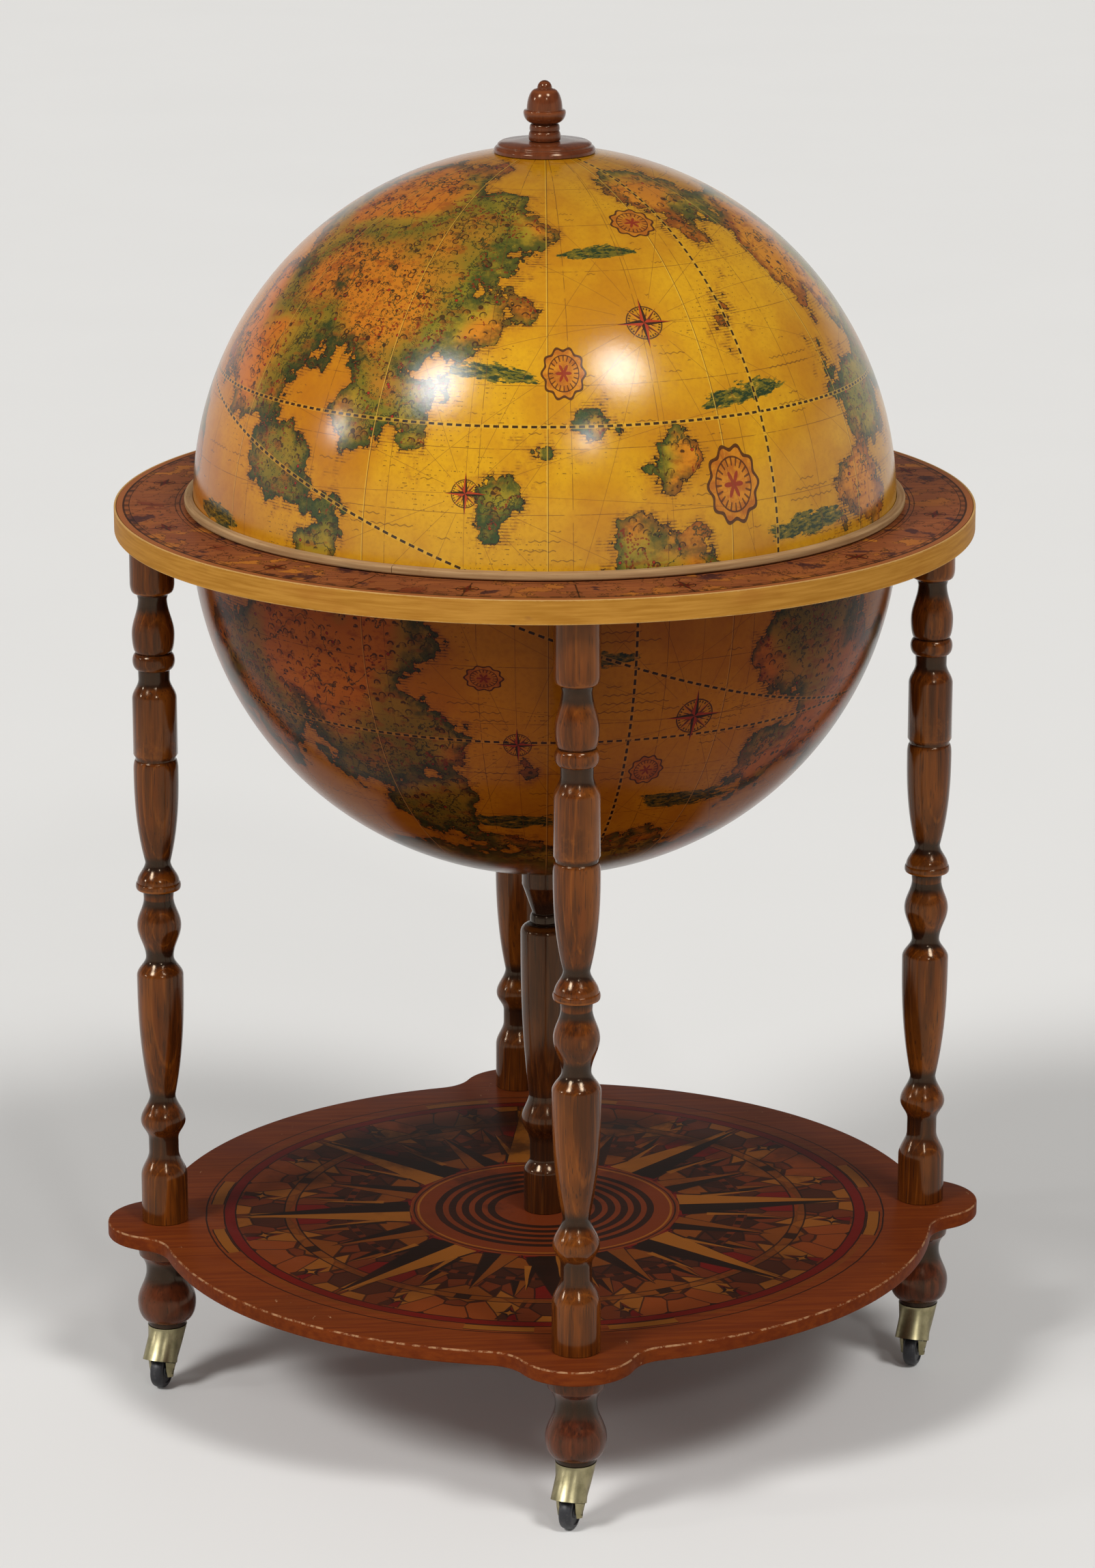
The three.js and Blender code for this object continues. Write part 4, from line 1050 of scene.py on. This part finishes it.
def turned_part(name, node, widest, start_share, moves, wood, x=0, y=0, capped=True):
    """A turned piece, marked with where its surface is hollow and where it has an edge."""
    bottom, length = height_of(node)
    outline = turned_outline(length, widest, start_share, moves)
    ends = [(0.0, outline[0][1]), *outline]
    if capped:
        ends.append((0.0, outline[-1][1]))
    # The hollow mark sets how much painted shade the wood gets in coves and necks; the edge mark sets its
    # worn ridges.
    marks = {}
    for radius, height in outline:
        marks[round(radius, 5), round(height, 5)] = (
            (radius_near(outline, height, HOLLOW_SPAN) - radius) / HOLLOW_DEPTH,
            (radius - radius_near(outline, height, EDGE_SPAN)) / EDGE_HEIGHT,
        )
    shape = spun(ends, flats=TURNED_FLATS)
    hollow = shape.verts.layers.float.new("hollow")
    edge = shape.verts.layers.float.new("edge")
    for vertex in shape.verts:
        radius = hypot(vertex.co.x, vertex.co.y)
        found = marks.get((round(radius, 5), round(vertex.co.z, 5)), (0.0, 0.0))
        vertex[hollow], vertex[edge] = found
    piece(name, set_down(shape, (x, y, bottom)), [node], [woods[wood]], edge=TURNED_EDGE)


for side, (x, y) in SIDES.items():
    spot = (x * LEG_CIRCLE_RADIUS, y * LEG_CIRCLE_RADIUS)
    leg = (LEG_RADIUS, LEG_START_SHARE, LEG_MOVE_SHARES, "leg_wood")
    foot = (FOOT_RADIUS, FOOT_START_SHARE, FOOT_MOVE_SHARES, "foot_wood")
    turned_part(f"turned_leg_{side}", f"leg_{side}", *leg, *spot)
    turned_part(f"turned_foot_{side}", f"foot_{side}", *foot, *spot)
column = (COLUMN_RADIUS, COLUMN_START_SHARE, COLUMN_MOVE_SHARES, "shaded_column_wood")
turned_part("turned_column", "centre_column", *column)
knob = (FINIAL_KNOB_RADIUS, KNOB_START_SHARE, KNOB_MOVE_SHARES, "finial_wood")
turned_part("turned_knob", "finial_knob", *knob, capped=False)

FINIAL_BASE_TOP_SHARES = [
    (1, -0.08),
    (1, 0.04),
    (0.97, 0.32),
    (0.93, 0.38),
    (0.93, 0.68),
    (0.87, 0.92),
    (0.5, 1),
]
seat_radius = GLOBE_RADIUS + SEAT_GAP
base_spread = degrees(asin(FINIAL_BASE_RADIUS / seat_radius))
base_outline = arc((0, -GLOBE_RADIUS), seat_radius, 90, 90 - base_spread, 8)
for radius_share, rise_share in FINIAL_BASE_TOP_SHARES:
    base_outline.append((FINIAL_BASE_RADIUS * radius_share, FINIAL_BASE_RISE * rise_share))
base_outline.append((0, FINIAL_BASE_RISE))
base_shape = set_down(spun(base_outline), (0, 0, lid_crown))
piece("finial_disc", base_shape, ["finial_base"], [woods["finial_wood"]], edge=0.0005)

# Shelf


def shelf_outline():
    fillet_reach = SHELF_DISC_RADIUS + SHELF_FILLET_RADIUS
    lobe_reach = SHELF_LOBE_RADIUS + SHELF_FILLET_RADIUS
    squares = fillet_reach**2 + LEG_CIRCLE_RADIUS**2 - lobe_reach**2
    spread = degrees(acos(squares / (2 * fillet_reach * LEG_CIRCLE_RADIUS)))
    fillet_x = fillet_reach * cos(radians(spread))
    fillet_y = fillet_reach * sin(radians(spread))
    lobe_spread = degrees(atan2(fillet_y, fillet_x - LEG_CIRCLE_RADIUS))
    fillet = arc((fillet_x, fillet_y), SHELF_FILLET_RADIUS, 180 + lobe_spread, 180 + spread, 10)
    quarter = [(x, -y) for x, y in reversed(fillet)]
    quarter += arc((LEG_CIRCLE_RADIUS, 0), SHELF_LOBE_RADIUS, -lobe_spread, lobe_spread, 28)[1:]
    quarter += fillet[1:]
    quarter += arc((0, 0), SHELF_DISC_RADIUS, spread, 90 - spread, 40)[1:-1]
    return quarter


shelf = bmesh.new()
rim = []
for quarter_turn in range(4):
    turn = Matrix.Rotation(quarter_turn * pi / 2, 4, "Z")
    rim += [shelf.verts.new(turn @ Vector((x, y, shelf_bottom))) for x, y in shelf_outline()]
underside = shelf.faces.new(rim)
raised = bmesh.ops.extrude_face_region(shelf, geom=[underside], use_keep_orig=True)
top_points = [item for item in raised["geom"] if isinstance(item, bmesh.types.BMVert)]
bmesh.ops.translate(shelf, vec=(0, 0, shelf_top - shelf_bottom), verts=top_points)
tidied(shelf)
rim_edges = [edge for edge in shelf.edges if abs(edge.verts[0].co.z - edge.verts[1].co.z) < FINE]
rounded(shelf, rim_edges, SHELF_EDGE_ROUND, 4)
piece("printed_shelf", shelf, ["lower_shelf"], [shelf_print], sharp=40)

# Ring, edge band and trim

ring_outer = RING_RADIUS - EDGE_BAND_THICKNESS - SEAT_GAP
ring_outline = hoop_section(RING_OPENING_RADIUS, ring_outer, ring_bottom, ring_top)
ring_shape = spun(ring_outline, closed=True, flats=RING_FLATS)
piece("printed_ring", ring_shape, ["horizon_ring"], [ring_print], edge=0.0003)
band_outline = hoop_section(RING_RADIUS - EDGE_BAND_THICKNESS, RING_RADIUS, ring_bottom, ring_top)
band_shape = spun(band_outline, closed=True, flats=RING_FLATS)
piece("veneer_band", band_shape, ["ring_edge_band"], [edge_veneer], edge=0.0005)

trim_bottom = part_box("lid_trim")[0][2]
trim_inner = GLOBE_RADIUS + SEAT_GAP
trim_outer = GLOBE_RADIUS + TRIM_WIDTH
trim_outline = [(trim_inner, trim_bottom)]
trim_outline += arc((trim_outer - TRIM_ROUND, trim_bottom + TRIM_ROUND), TRIM_ROUND, -90, 0, 6)
trim_outline += arc((trim_outer - TRIM_ROUND, trim_bottom + TRIM_HEIGHT - TRIM_ROUND), TRIM_ROUND, 0, 90, 6)
trim_outline.append((trim_inner, trim_bottom + TRIM_HEIGHT))
trim_turn = tau - TRIM_JOINT_WIDTH / trim_outer
trim = spun(trim_outline, closed=True, flats=RING_FLATS, turn=trim_turn)
ends = [edge for edge in trim.edges if edge.is_boundary]
bmesh.ops.holes_fill(trim, edges=ends, sides=0)
set_down(trim, (0, 0, 0), TRIM_JOINT_ANGLE + TRIM_JOINT_WIDTH / (2 * trim_outer))

# Notches under the lid for the hinge leaves

HINGE_SPACING = 0.09
HINGE_LEAF_WIDTH = 0.03
HINGE_LEAF_LENGTH = 0.024
HINGE_LEAF_THICKNESS = 0.0012
HINGE_KNUCKLE_RADIUS = 0.0032
HINGE_PIN_RADIUS = 0.0013
NOTCH_CLEARANCE = 0.0004
hinge_y = GLOBE_RADIUS + TRIM_WIDTH + HINGE_KNUCKLE_RADIUS + 2 * SEAT_GAP
hinge_z = ring_top + SEAT_GAP + HINGE_KNUCKLE_RADIUS
hinge_places = {"left": -HINGE_SPACING / 2, "right": HINGE_SPACING / 2}


def box_shape(low, high):
    shape = bmesh.new()
    bmesh.ops.create_cube(shape, size=1)
    size = Vector(high) - Vector(low)
    bmesh.ops.scale(shape, vec=size, verts=shape.verts)
    bmesh.ops.translate(shape, vec=(Vector(low) + Vector(high)) / 2, verts=shape.verts)
    return shape


def leaf_notches():
    half = HINGE_LEAF_WIDTH / 2 + NOTCH_CLEARANCE
    notches = []
    for x in hinge_places.values():
        low = (x - half, hinge_y - HINGE_LEAF_LENGTH - NOTCH_CLEARANCE, ring_top - OVERCUT)
        high = (x + half, hinge_y + OVERCUT, ring_top + 2 * SEAT_GAP + HINGE_LEAF_THICKNESS)
        notches.append(box_shape(low, high))
    return notches


piece("bent_trim", carved(trim, cuts=leaf_notches()), ["lid_trim"], [trim_wood])

# Globe halves: printed outside, lined inside


LEAST_OUTWARD = 0.3
SHELL_STEPS = 72
LINING_STEPS = 48


def lined(shape, centre):
    """Gives the faces that look inward the second finish."""
    for face in shape.faces:
        outward = face.calc_center_median() - Vector(centre)
        if face.normal.dot(outward.normalized()) < LEAST_OUTWARD:
            face.material_index = 1
    return shape


def shell_section(radius, seat_height):
    """Half a shell about its centre, with an upright seat for its hoop; and the radius of the seat."""
    inner_radius = radius - SHELL_WALL
    seat_radius = sqrt(inner_radius**2 - seat_height**2)
    section = arc((0, 0), radius, degrees(asin(SEAT_GAP / radius)), 90, SHELL_STEPS)
    section += arc((0, 0), inner_radius, 90, degrees(asin(seat_height / inner_radius)), LINING_STEPS)
    section.append((seat_radius, SEAT_GAP))
    return section, seat_radius


lid_section, lid_seat_radius = shell_section(GLOBE_RADIUS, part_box("lid_hoop")[1][2] - ring_top)
lid_shape = set_down(spun(lid_section, closed=True, flats=GLOBE_FLATS), (0, 0, ring_top))
lid_shape = lined(carved(lid_shape, cuts=leaf_notches()), (0, 0, ring_top))
piece("printed_lid", lid_shape, ["upper_globe_half"], [lid_map, lining])
bowl_section, _ = shell_section(BOWL_RADIUS, ring_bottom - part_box("bowl_hoop")[0][2])
bowl_section = [(radius, -height) for radius, height in reversed(bowl_section)]
bowl_shape = set_down(spun(bowl_section, closed=True, flats=GLOBE_FLATS), (0, 0, ring_bottom))
piece("printed_bowl", lined(bowl_shape, (0, 0, ring_bottom)), ["lower_globe_half"], [bowl_map, lining])

LID_HOOP_WIDTH = 0.0126
hoop_outer = lid_seat_radius - SEAT_GAP
hoop_low, hoop_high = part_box("lid_hoop")
hoop_outline = hoop_section(hoop_outer - LID_HOOP_WIDTH, hoop_outer, hoop_low[2], hoop_high[2])
hoop_shape = carved(spun(hoop_outline, closed=True, flats=GLOBE_FLATS), cuts=leaf_notches())
piece("lid_rim_hoop", hoop_shape, ["lid_hoop"], [plain_wood])

# Tray and well

TRAY_THICKNESS = 0.003
TRAY_LIP_HEIGHT = 0.004
TRAY_LIP_WIDTH = 0.003
GLASS_COUNT = 8
GLASS_MOUTH_RADIUS = 0.035
GLASS_FLOOR_RADIUS = 0.031
GLASS_FLOOR_ROUND = 0.004
GLASS_MOUTH_ROUND = 0.002
GLASS_RECESS_DEPTH = 0.024
WELL_RADIUS = 0.102
WELL_WALL = 0.0025
WELL_FLANGE_WIDTH = 0.008
WELL_FLOOR_ROUND = 0.014
BORE_CLEARANCE = 0.0004
tray_radius = RING_OPENING_RADIUS - 2 * SEAT_GAP
lip_inner = tray_radius - TRAY_LIP_WIDTH
glass_circle = (WELL_RADIUS + WELL_FLANGE_WIDTH + lip_inner) / 2
tray_top = ring_bottom + TRAY_THICKNESS
recess_floor = tray_top - GLASS_RECESS_DEPTH
sheet_outline = [
    (WELL_RADIUS + BORE_CLEARANCE, ring_bottom),
    (tray_radius, ring_bottom),
    (tray_radius, tray_top + TRAY_LIP_HEIGHT),
    (lip_inner, tray_top + TRAY_LIP_HEIGHT),
    (lip_inner - TRAY_LIP_HEIGHT, tray_top),
    (WELL_RADIUS + BORE_CLEARANCE, tray_top),
]
cup_outline = plug_outline(
    recess_floor - TRAY_THICKNESS,
    GLASS_FLOOR_RADIUS + TRAY_THICKNESS,
    ring_bottom + TRAY_THICKNESS / 2,
    GLASS_MOUTH_RADIUS + TRAY_THICKNESS,
)
recess_outline = [(0, recess_floor)]
floor_centre = (GLASS_FLOOR_RADIUS - GLASS_FLOOR_ROUND, recess_floor + GLASS_FLOOR_ROUND)
recess_outline += arc(floor_centre, GLASS_FLOOR_ROUND, -90, 0, 6)
mouth_centre = (GLASS_MOUTH_RADIUS + GLASS_MOUTH_ROUND, tray_top - GLASS_MOUTH_ROUND)
recess_outline += arc(mouth_centre, GLASS_MOUTH_ROUND, 180, 90, 5)
recess_outline += [(GLASS_MOUTH_RADIUS + GLASS_MOUTH_ROUND, tray_top + OVERCUT), (0, tray_top + OVERCUT)]
cups, recesses = [], []
for index in range(GLASS_COUNT):
    angle = (index + 0.5) * tau / GLASS_COUNT
    spot = (glass_circle * cos(angle), glass_circle * sin(angle), 0)
    cups.append(set_down(spun(cup_outline, flats=GLASS_FLATS), spot))
    recesses.append(set_down(spun(recess_outline, flats=GLASS_FLATS), spot))
tray_shape = carved(spun(sheet_outline, closed=True, flats=WELL_FLATS), joins=cups, cuts=recesses)
piece("moulded_tray", tray_shape, ["glass_tray"], [moulding])

well_floor, well_height = height_of("bottle_well")
well_flange = well_floor + well_height - WELL_WALL
round_centre = (WELL_RADIUS - WELL_FLOOR_ROUND, well_floor + WELL_FLOOR_ROUND)
well_outline = [(0, well_floor)]
well_outline += arc(round_centre, WELL_FLOOR_ROUND, -90, 0, 10)
well_outline += [(WELL_RADIUS, well_flange), (WELL_RADIUS + WELL_FLANGE_WIDTH, well_flange)]
well_outline += [(WELL_RADIUS + WELL_FLANGE_WIDTH, well_flange + WELL_WALL)]
well_outline += [(WELL_RADIUS - WELL_WALL, well_flange + WELL_WALL)]
well_outline += arc(round_centre, WELL_FLOOR_ROUND - WELL_WALL, 0, -90, 10)
well_outline += [(0, well_floor + WELL_WALL)]
piece("moulded_well", spun(well_outline, flats=WELL_FLATS), ["bottle_well"], [moulding], edge=0.0006)

# Hinges


def lying(outline, flats=40, closed=False):
    """A spun shape laid along the X axis."""
    shape = spun(outline, closed, flats)
    bmesh.ops.rotate(shape, matrix=Matrix.Rotation(pi / 2, 3, "Y"), verts=shape.verts)
    return shape


def rod_outline(radius, start, end, bevel=0.0):
    inner = radius - bevel
    lower = [(0, start), (inner, start), (radius, start + bevel)]
    return [*lower, (radius, end - bevel), (inner, end), (0, end)]


LEAF_CORNER_RADIUS = 0.0025
ROD_BEVEL = 0.0002
PIN_CLEARANCE = 0.00025
SCREW_HEAD_RADIUS = 0.0022
SCREW_HEAD_HEIGHT = 0.0008
SCREW_HEAD_SINK = 0.0001
SCREW_SHANK_RADIUS = 0.0011
SCREW_SLOT_WIDTH = 0.0004
SCREW_SLOT_DEPTH = 0.0004
SINK_RADIUS = 0.0026
SINK_FLOOR_RADIUS = 0.0012
SINK_DEPTH = 0.001
SINK_RISE = 0.0002
SCREW_TURN = 0.9
leaf_top = HINGE_LEAF_THICKNESS - HINGE_KNUCKLE_RADIUS


def leaf_shape(own_spans, other_spans, screw_rows):
    """A hinge leaf toward +Y, about its pin, with countersunk holes."""
    half = HINGE_LEAF_WIDTH / 2
    plate = box_shape((-half, 0, -HINGE_KNUCKLE_RADIUS), (half, HINGE_LEAF_LENGTH, leaf_top))
    corners = []
    for edge in plate.edges:
        upright = abs(edge.verts[0].co.z - edge.verts[1].co.z) > FINE
        if upright and edge.verts[0].co.y > HINGE_LEAF_LENGTH / 2:
            corners.append(edge)
    rounded(plate, corners, LEAF_CORNER_RADIUS, 5)
    knuckles = [lying(rod_outline(HINGE_KNUCKLE_RADIUS, start, end, ROD_BEVEL)) for start, end in own_spans]
    cuts = [lying(rod_outline(HINGE_KNUCKLE_RADIUS + SEAT_GAP, start, end)) for start, end in other_spans]
    leaf = carved(carved(plate, cuts=cuts), joins=knuckles)
    holes = [lying(rod_outline(HINGE_PIN_RADIUS + PIN_CLEARANCE, -half - OVERCUT, half + OVERCUT))]
    sink = plug_outline(leaf_top - SINK_DEPTH, SINK_FLOOR_RADIUS, leaf_top + SINK_RISE, SINK_RADIUS)
    for x, y in screw_rows:
        holes.append(set_down(spun(sink, flats=SCREW_FLATS), (x, y, 0)))
    return carved(leaf, cuts=holes)


def screw_heads(screw_rows):
    """Countersunk heads with a straight slot, joined in one shape."""
    head_top = leaf_top - SCREW_HEAD_SINK
    outline = plug_outline(head_top - SCREW_HEAD_HEIGHT, SCREW_SHANK_RADIUS, head_top, SCREW_HEAD_RADIUS)
    slot_low = (-SCREW_HEAD_RADIUS, -SCREW_SLOT_WIDTH / 2, head_top - SCREW_SLOT_DEPTH)
    slot_high = (SCREW_HEAD_RADIUS, SCREW_SLOT_WIDTH / 2, leaf_top + OVERCUT)
    shape = bmesh.new()
    for index, (x, y) in enumerate(screw_rows):
        head = carved(spun(outline, flats=SCREW_FLATS), cuts=[box_shape(slot_low, slot_high)])
        set_down(head, (x, y, 0), index * SCREW_TURN)
        mesh = bpy.data.meshes.new("screw")
        head.to_mesh(mesh)
        head.free()
        shape.from_mesh(mesh)
        bpy.data.meshes.remove(mesh)
    return shape


half_leaf = HINGE_LEAF_WIDTH / 2
inner_gap = HINGE_LEAF_WIDTH / 6 + SEAT_GAP / 2
outer_gap = HINGE_LEAF_WIDTH / 6 - SEAT_GAP / 2
screw_rows = [(-0.009, 0.009), (0.009, 0.009), (0.0, 0.017)]
for side, x in hinge_places.items():
    spot = (x, hinge_y, hinge_z)
    own = [(-half_leaf, -inner_gap), (inner_gap, half_leaf)]
    fixed = leaf_shape(own, [(-inner_gap, inner_gap)], screw_rows)
    piece(f"fixed_leaf_{side}", set_down(fixed, spot), [f"hinge_fixed_leaf_{side}"], [hinge_brass])
    heads = set_down(screw_heads(screw_rows), spot)
    screw_piece = made_object(f"leaf_screws_{side}", heads, [hinge_brass])
    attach(screw_piece, "stand")
    outer = [(-half_leaf - OVERCUT, -outer_gap), (outer_gap, half_leaf + OVERCUT)]
    moving = leaf_shape([(-outer_gap, outer_gap)], outer, [])
    piece(f"lid_leaf_{side}", set_down(moving, spot, pi), [f"hinge_lid_leaf_{side}"], [hinge_brass])
    pin = lying(rod_outline(HINGE_PIN_RADIUS, -half_leaf - SEAT_GAP, half_leaf + SEAT_GAP, ROD_BEVEL))
    piece(f"pin_{side}", set_down(pin, spot), [f"hinge_pin_{side}"], [steel])

# Casters, drawn about the swivel's axis with the wheel trailing to -Y

FORK_SECTION_SHARES = [
    (0, 0, 1, 1),
    (0.2, 0.21, 0.935, 0.925),
    (0.4, 0.46, 0.855, 0.855),
    (0.645, 0.79, 0.72, 0.76),
    (0.835, 0.96, 0.49, 0.68),
    (1, 1, 0.28, 0.625),
]
COLLAR_RADIUS = 0.0144
FORK_TIP_HEIGHT = 0.009
NOSE_RADIUS = 0.0126
NOSE_HEIGHT = 0.0215
NOSE_REACH = 0.015
NOSE_LIFT = 0.0044
NOSE_START_SHARE = 0.78
HOOD_WALL = 0.0013
AXLE_RADIUS = 0.002
AXLE_HALF_LENGTH = 0.0089
AXLE_BEVEL = 0.0003
STEM_RADIUS = 0.004
WHEEL_CLEARANCE = 0.0012
AXLE_PLACE = (0, -WHEEL_TRAIL, WHEEL_RADIUS)


def lofted(sections, flats=48):
    """Oval sections from the top down, each (height, trail, length, width, lift), joined and capped."""
    shape = bmesh.new()
    bmesh.ops.create_circle(shape, cap_ends=True, segments=flats, radius=1.0)
    face = shape.faces[:][0]
    earlier = Matrix.Identity(4)
    for height, trail, length, width, lift in sections:
        tilt = Matrix.Identity(4)
        tilt[2][1] = -lift
        place = Matrix.Translation((0, -trail, height)) @ Matrix.Diagonal((width, length, 1, 1)) @ tilt
        if earlier != Matrix.Identity(4):
            grown = bmesh.ops.extrude_face_region(shape, geom=[face, *face.edges])
            face = [item for item in grown["geom"] if isinstance(item, bmesh.types.BMFace)][0]
        bmesh.ops.transform(shape, matrix=place @ earlier.inverted(), verts=list(face.verts))
        earlier = place
    open_edges = [edge for edge in shape.edges if edge.is_boundary]
    bmesh.ops.holes_fill(shape, edges=open_edges, sides=0)
    return tidied(shape)


def fork_sections(inset, drop):
    top = CASTER_HEIGHT - inset
    sections = []
    for height_share, trail_share, length_share, width_share in FORK_SECTION_SHARES:
        height = top + (FORK_TIP_HEIGHT - top) * height_share
        length = COLLAR_RADIUS * length_share - inset
        width = COLLAR_RADIUS * width_share - inset
        sections.append([height, WHEEL_TRAIL * trail_share, length, width, 0])
    sections[-1][0] -= drop
    return sections


def nose_sections(inset, drop):
    start = COLLAR_RADIUS * NOSE_START_SHARE
    mouth = NOSE_RADIUS - inset
    top = CASTER_HEIGHT - HOOD_WALL - inset
    return [
        (top, COLLAR_RADIUS - start, start - inset, start - inset, 0),
        (NOSE_HEIGHT - drop, NOSE_REACH, mouth, mouth, NOSE_LIFT),
    ]


def hood_shape():
    half_slot = WHEEL_WIDTH / 2 + WHEEL_CLEARANCE
    slot = lying(rod_outline(WHEEL_RADIUS + WHEEL_CLEARANCE, -half_slot, half_slot), TURNED_FLATS)
    bore = lying(rod_outline(AXLE_RADIUS + PIN_CLEARANCE, -COLLAR_RADIUS - OVERCUT, COLLAR_RADIUS + OVERCUT))
    for cutter in (slot, bore):
        set_down(cutter, AXLE_PLACE)
    hole_radius = STEM_RADIUS + BORE_CLEARANCE
    stem_hole = plug_outline(NOSE_HEIGHT, hole_radius, CASTER_HEIGHT + OVERCUT, hole_radius)
    outside = carved(lofted(fork_sections(0, 0)), joins=[lofted(nose_sections(0, 0))])
    insides = [lofted(fork_sections(HOOD_WALL, OVERCUT)), lofted(nose_sections(HOOD_WALL, OVERCUT))]
    return carved(outside, cuts=[*insides, slot, bore, spun(stem_hole, flats=STEM_FLATS)])


def wheel_shape():
    """A crowned tread with rounded shoulders and a shallow dish on each face."""
    half = WHEEL_WIDTH / 2
    shoulder = 0.0026
    dish = 0.0008
    dish_slope = 0.0005
    bore = AXLE_RADIUS + PIN_CLEARANCE
    hub = 0.0045
    crown = 0.0004
    rim = WHEEL_RADIUS - shoulder - 0.001
    side = [(bore, half), (hub, half), (hub + dish_slope, half - dish)]
    side += [(rim - dish_slope, half - dish), (rim, half)]
    side += arc((WHEEL_RADIUS - crown - shoulder, half - shoulder), shoulder, 90, 8, 6)
    side.append((WHEEL_RADIUS - crown * 0.3, half * 0.3))
    outline = [(radius, -height) for radius, height in side] + [(WHEEL_RADIUS, 0.0)] + side[::-1]
    return set_down(lying(outline, flats=WHEEL_FLATS, closed=True), AXLE_PLACE)


caster_turn = CASTER_HEADING + pi / 2
hood = hood_shape()
for side, (x, y) in SIDES.items():
    spot = Vector((x, y, 0)) * LEG_CIRCLE_RADIUS
    hood_copy = set_down(hood.copy(), spot, caster_turn)
    piece(f"brass_hood_{side}", hood_copy, [f"caster_hood_{side}"], [caster_brass])
    wheel = set_down(wheel_shape(), spot, caster_turn)
    piece(f"black_wheel_{side}", wheel, [f"caster_wheel_{side}"], [rubber])
    axle = lying(rod_outline(AXLE_RADIUS, -AXLE_HALF_LENGTH, AXLE_HALF_LENGTH, AXLE_BEVEL))
    set_down(axle, AXLE_PLACE)
    piece(f"axle_{side}", set_down(axle, spot, caster_turn), [f"caster_axle_{side}"], [caster_brass])

# Inner pieces keep their frame solids

inner_finishes = {"plain_wood": plain_wood, "steel": steel}
for node, thing in frame["nodes"].items():
    if not thing.hide_render:
        material = inner_finishes[slot_of_node[node]]
        for material_slot in thing.material_slots:
            material_slot.link = "OBJECT"
            material_slot.material = material

# Studio

scene = bpy.context.scene
scene.view_settings.view_transform = "Standard"

FLOOR_SIZE = 60
PALE = (0.74, 0.73, 0.71)
OVERHEAD = (0.18, 0.177, 0.173)
WHEEL_PRESS = 0.0002
floor_finish = Finish("studio_floor", {"Roughness": 0.6})
floor_clouds = floor_finish.place.noise(3, 3, 0.5)
floor_finish.set("Base Color", floor_finish.mix(floor_clouds, PALE, (0.76, 0.75, 0.73)))
floor_shape = bmesh.new()
bmesh.ops.create_grid(floor_shape, x_segments=1, y_segments=1, size=FLOOR_SIZE / 2)
set_down(floor_shape, (0, 0, -WHEEL_PRESS))
floor = made_object("floor", floor_shape, [floor_finish.material])

scene.world = bpy.data.worlds.new("studio")
scene.world.use_nodes = True
sky = Nodes(scene.world.node_tree)
rise = sky.node("ShaderNodeTexCoord", out="Generated").parts()[2]
glow = sky.node("ShaderNodeBackground", {"Color": sky.mix(rise.fade(0.14, 0.28), PALE, OVERHEAD)})
sky.feed(sky.tree.nodes.new("ShaderNodeOutputWorld").inputs["Surface"], glow)


def lamp(name, toward, strength, spread):
    """A far soft lamp in a direction from the globe's middle; the spread is how wide it looks."""
    light = bpy.data.lights.new(name, "SUN")
    light.energy = strength
    light.angle = radians(spread)
    thing = bpy.data.objects.new(name, light)
    thing.rotation_euler = Vector(toward).to_track_quat("Z", "Y").to_euler()
    scene.collection.objects.link(thing)


lamp("key_left", (-0.563, -0.453, 0.691), 1.35, 17)
lamp("core_left", (-0.563, -0.453, 0.691), 0.55, 11)
lamp("key_right", (0.335, -0.531, 0.778), 1.05, 17)
lamp("core_right", (0.335, -0.531, 0.778), 0.5, 11)
lamp("spark_left", (-0.925, -0.119, 0.361), 0.26, 5)
lamp("spark_right", (0.168, -0.843, 0.511), 0.26, 5)

# Camera, at the photograph's viewing angle

IMAGE_HEIGHT = 2296
FOCAL_PIXELS = 7686.8
SENSOR = 36.0
lens = bpy.data.cameras.new("camera")
lens.sensor_fit = "AUTO"
lens.sensor_width = SENSOR
lens.lens = FOCAL_PIXELS / IMAGE_HEIGHT * SENSOR
lens.clip_end = 100
camera = bpy.data.objects.new("camera", lens)
object_turn = radians(4.445)
look_down = radians(15.736)
camera.location = Matrix.Rotation(-object_turn, 3, "Z") @ Vector((0.002, -3.6517, 1.4826))
camera.rotation_euler = (pi / 2 - look_down, 0, -object_turn)
scene.collection.objects.link(camera)
scene.camera = camera
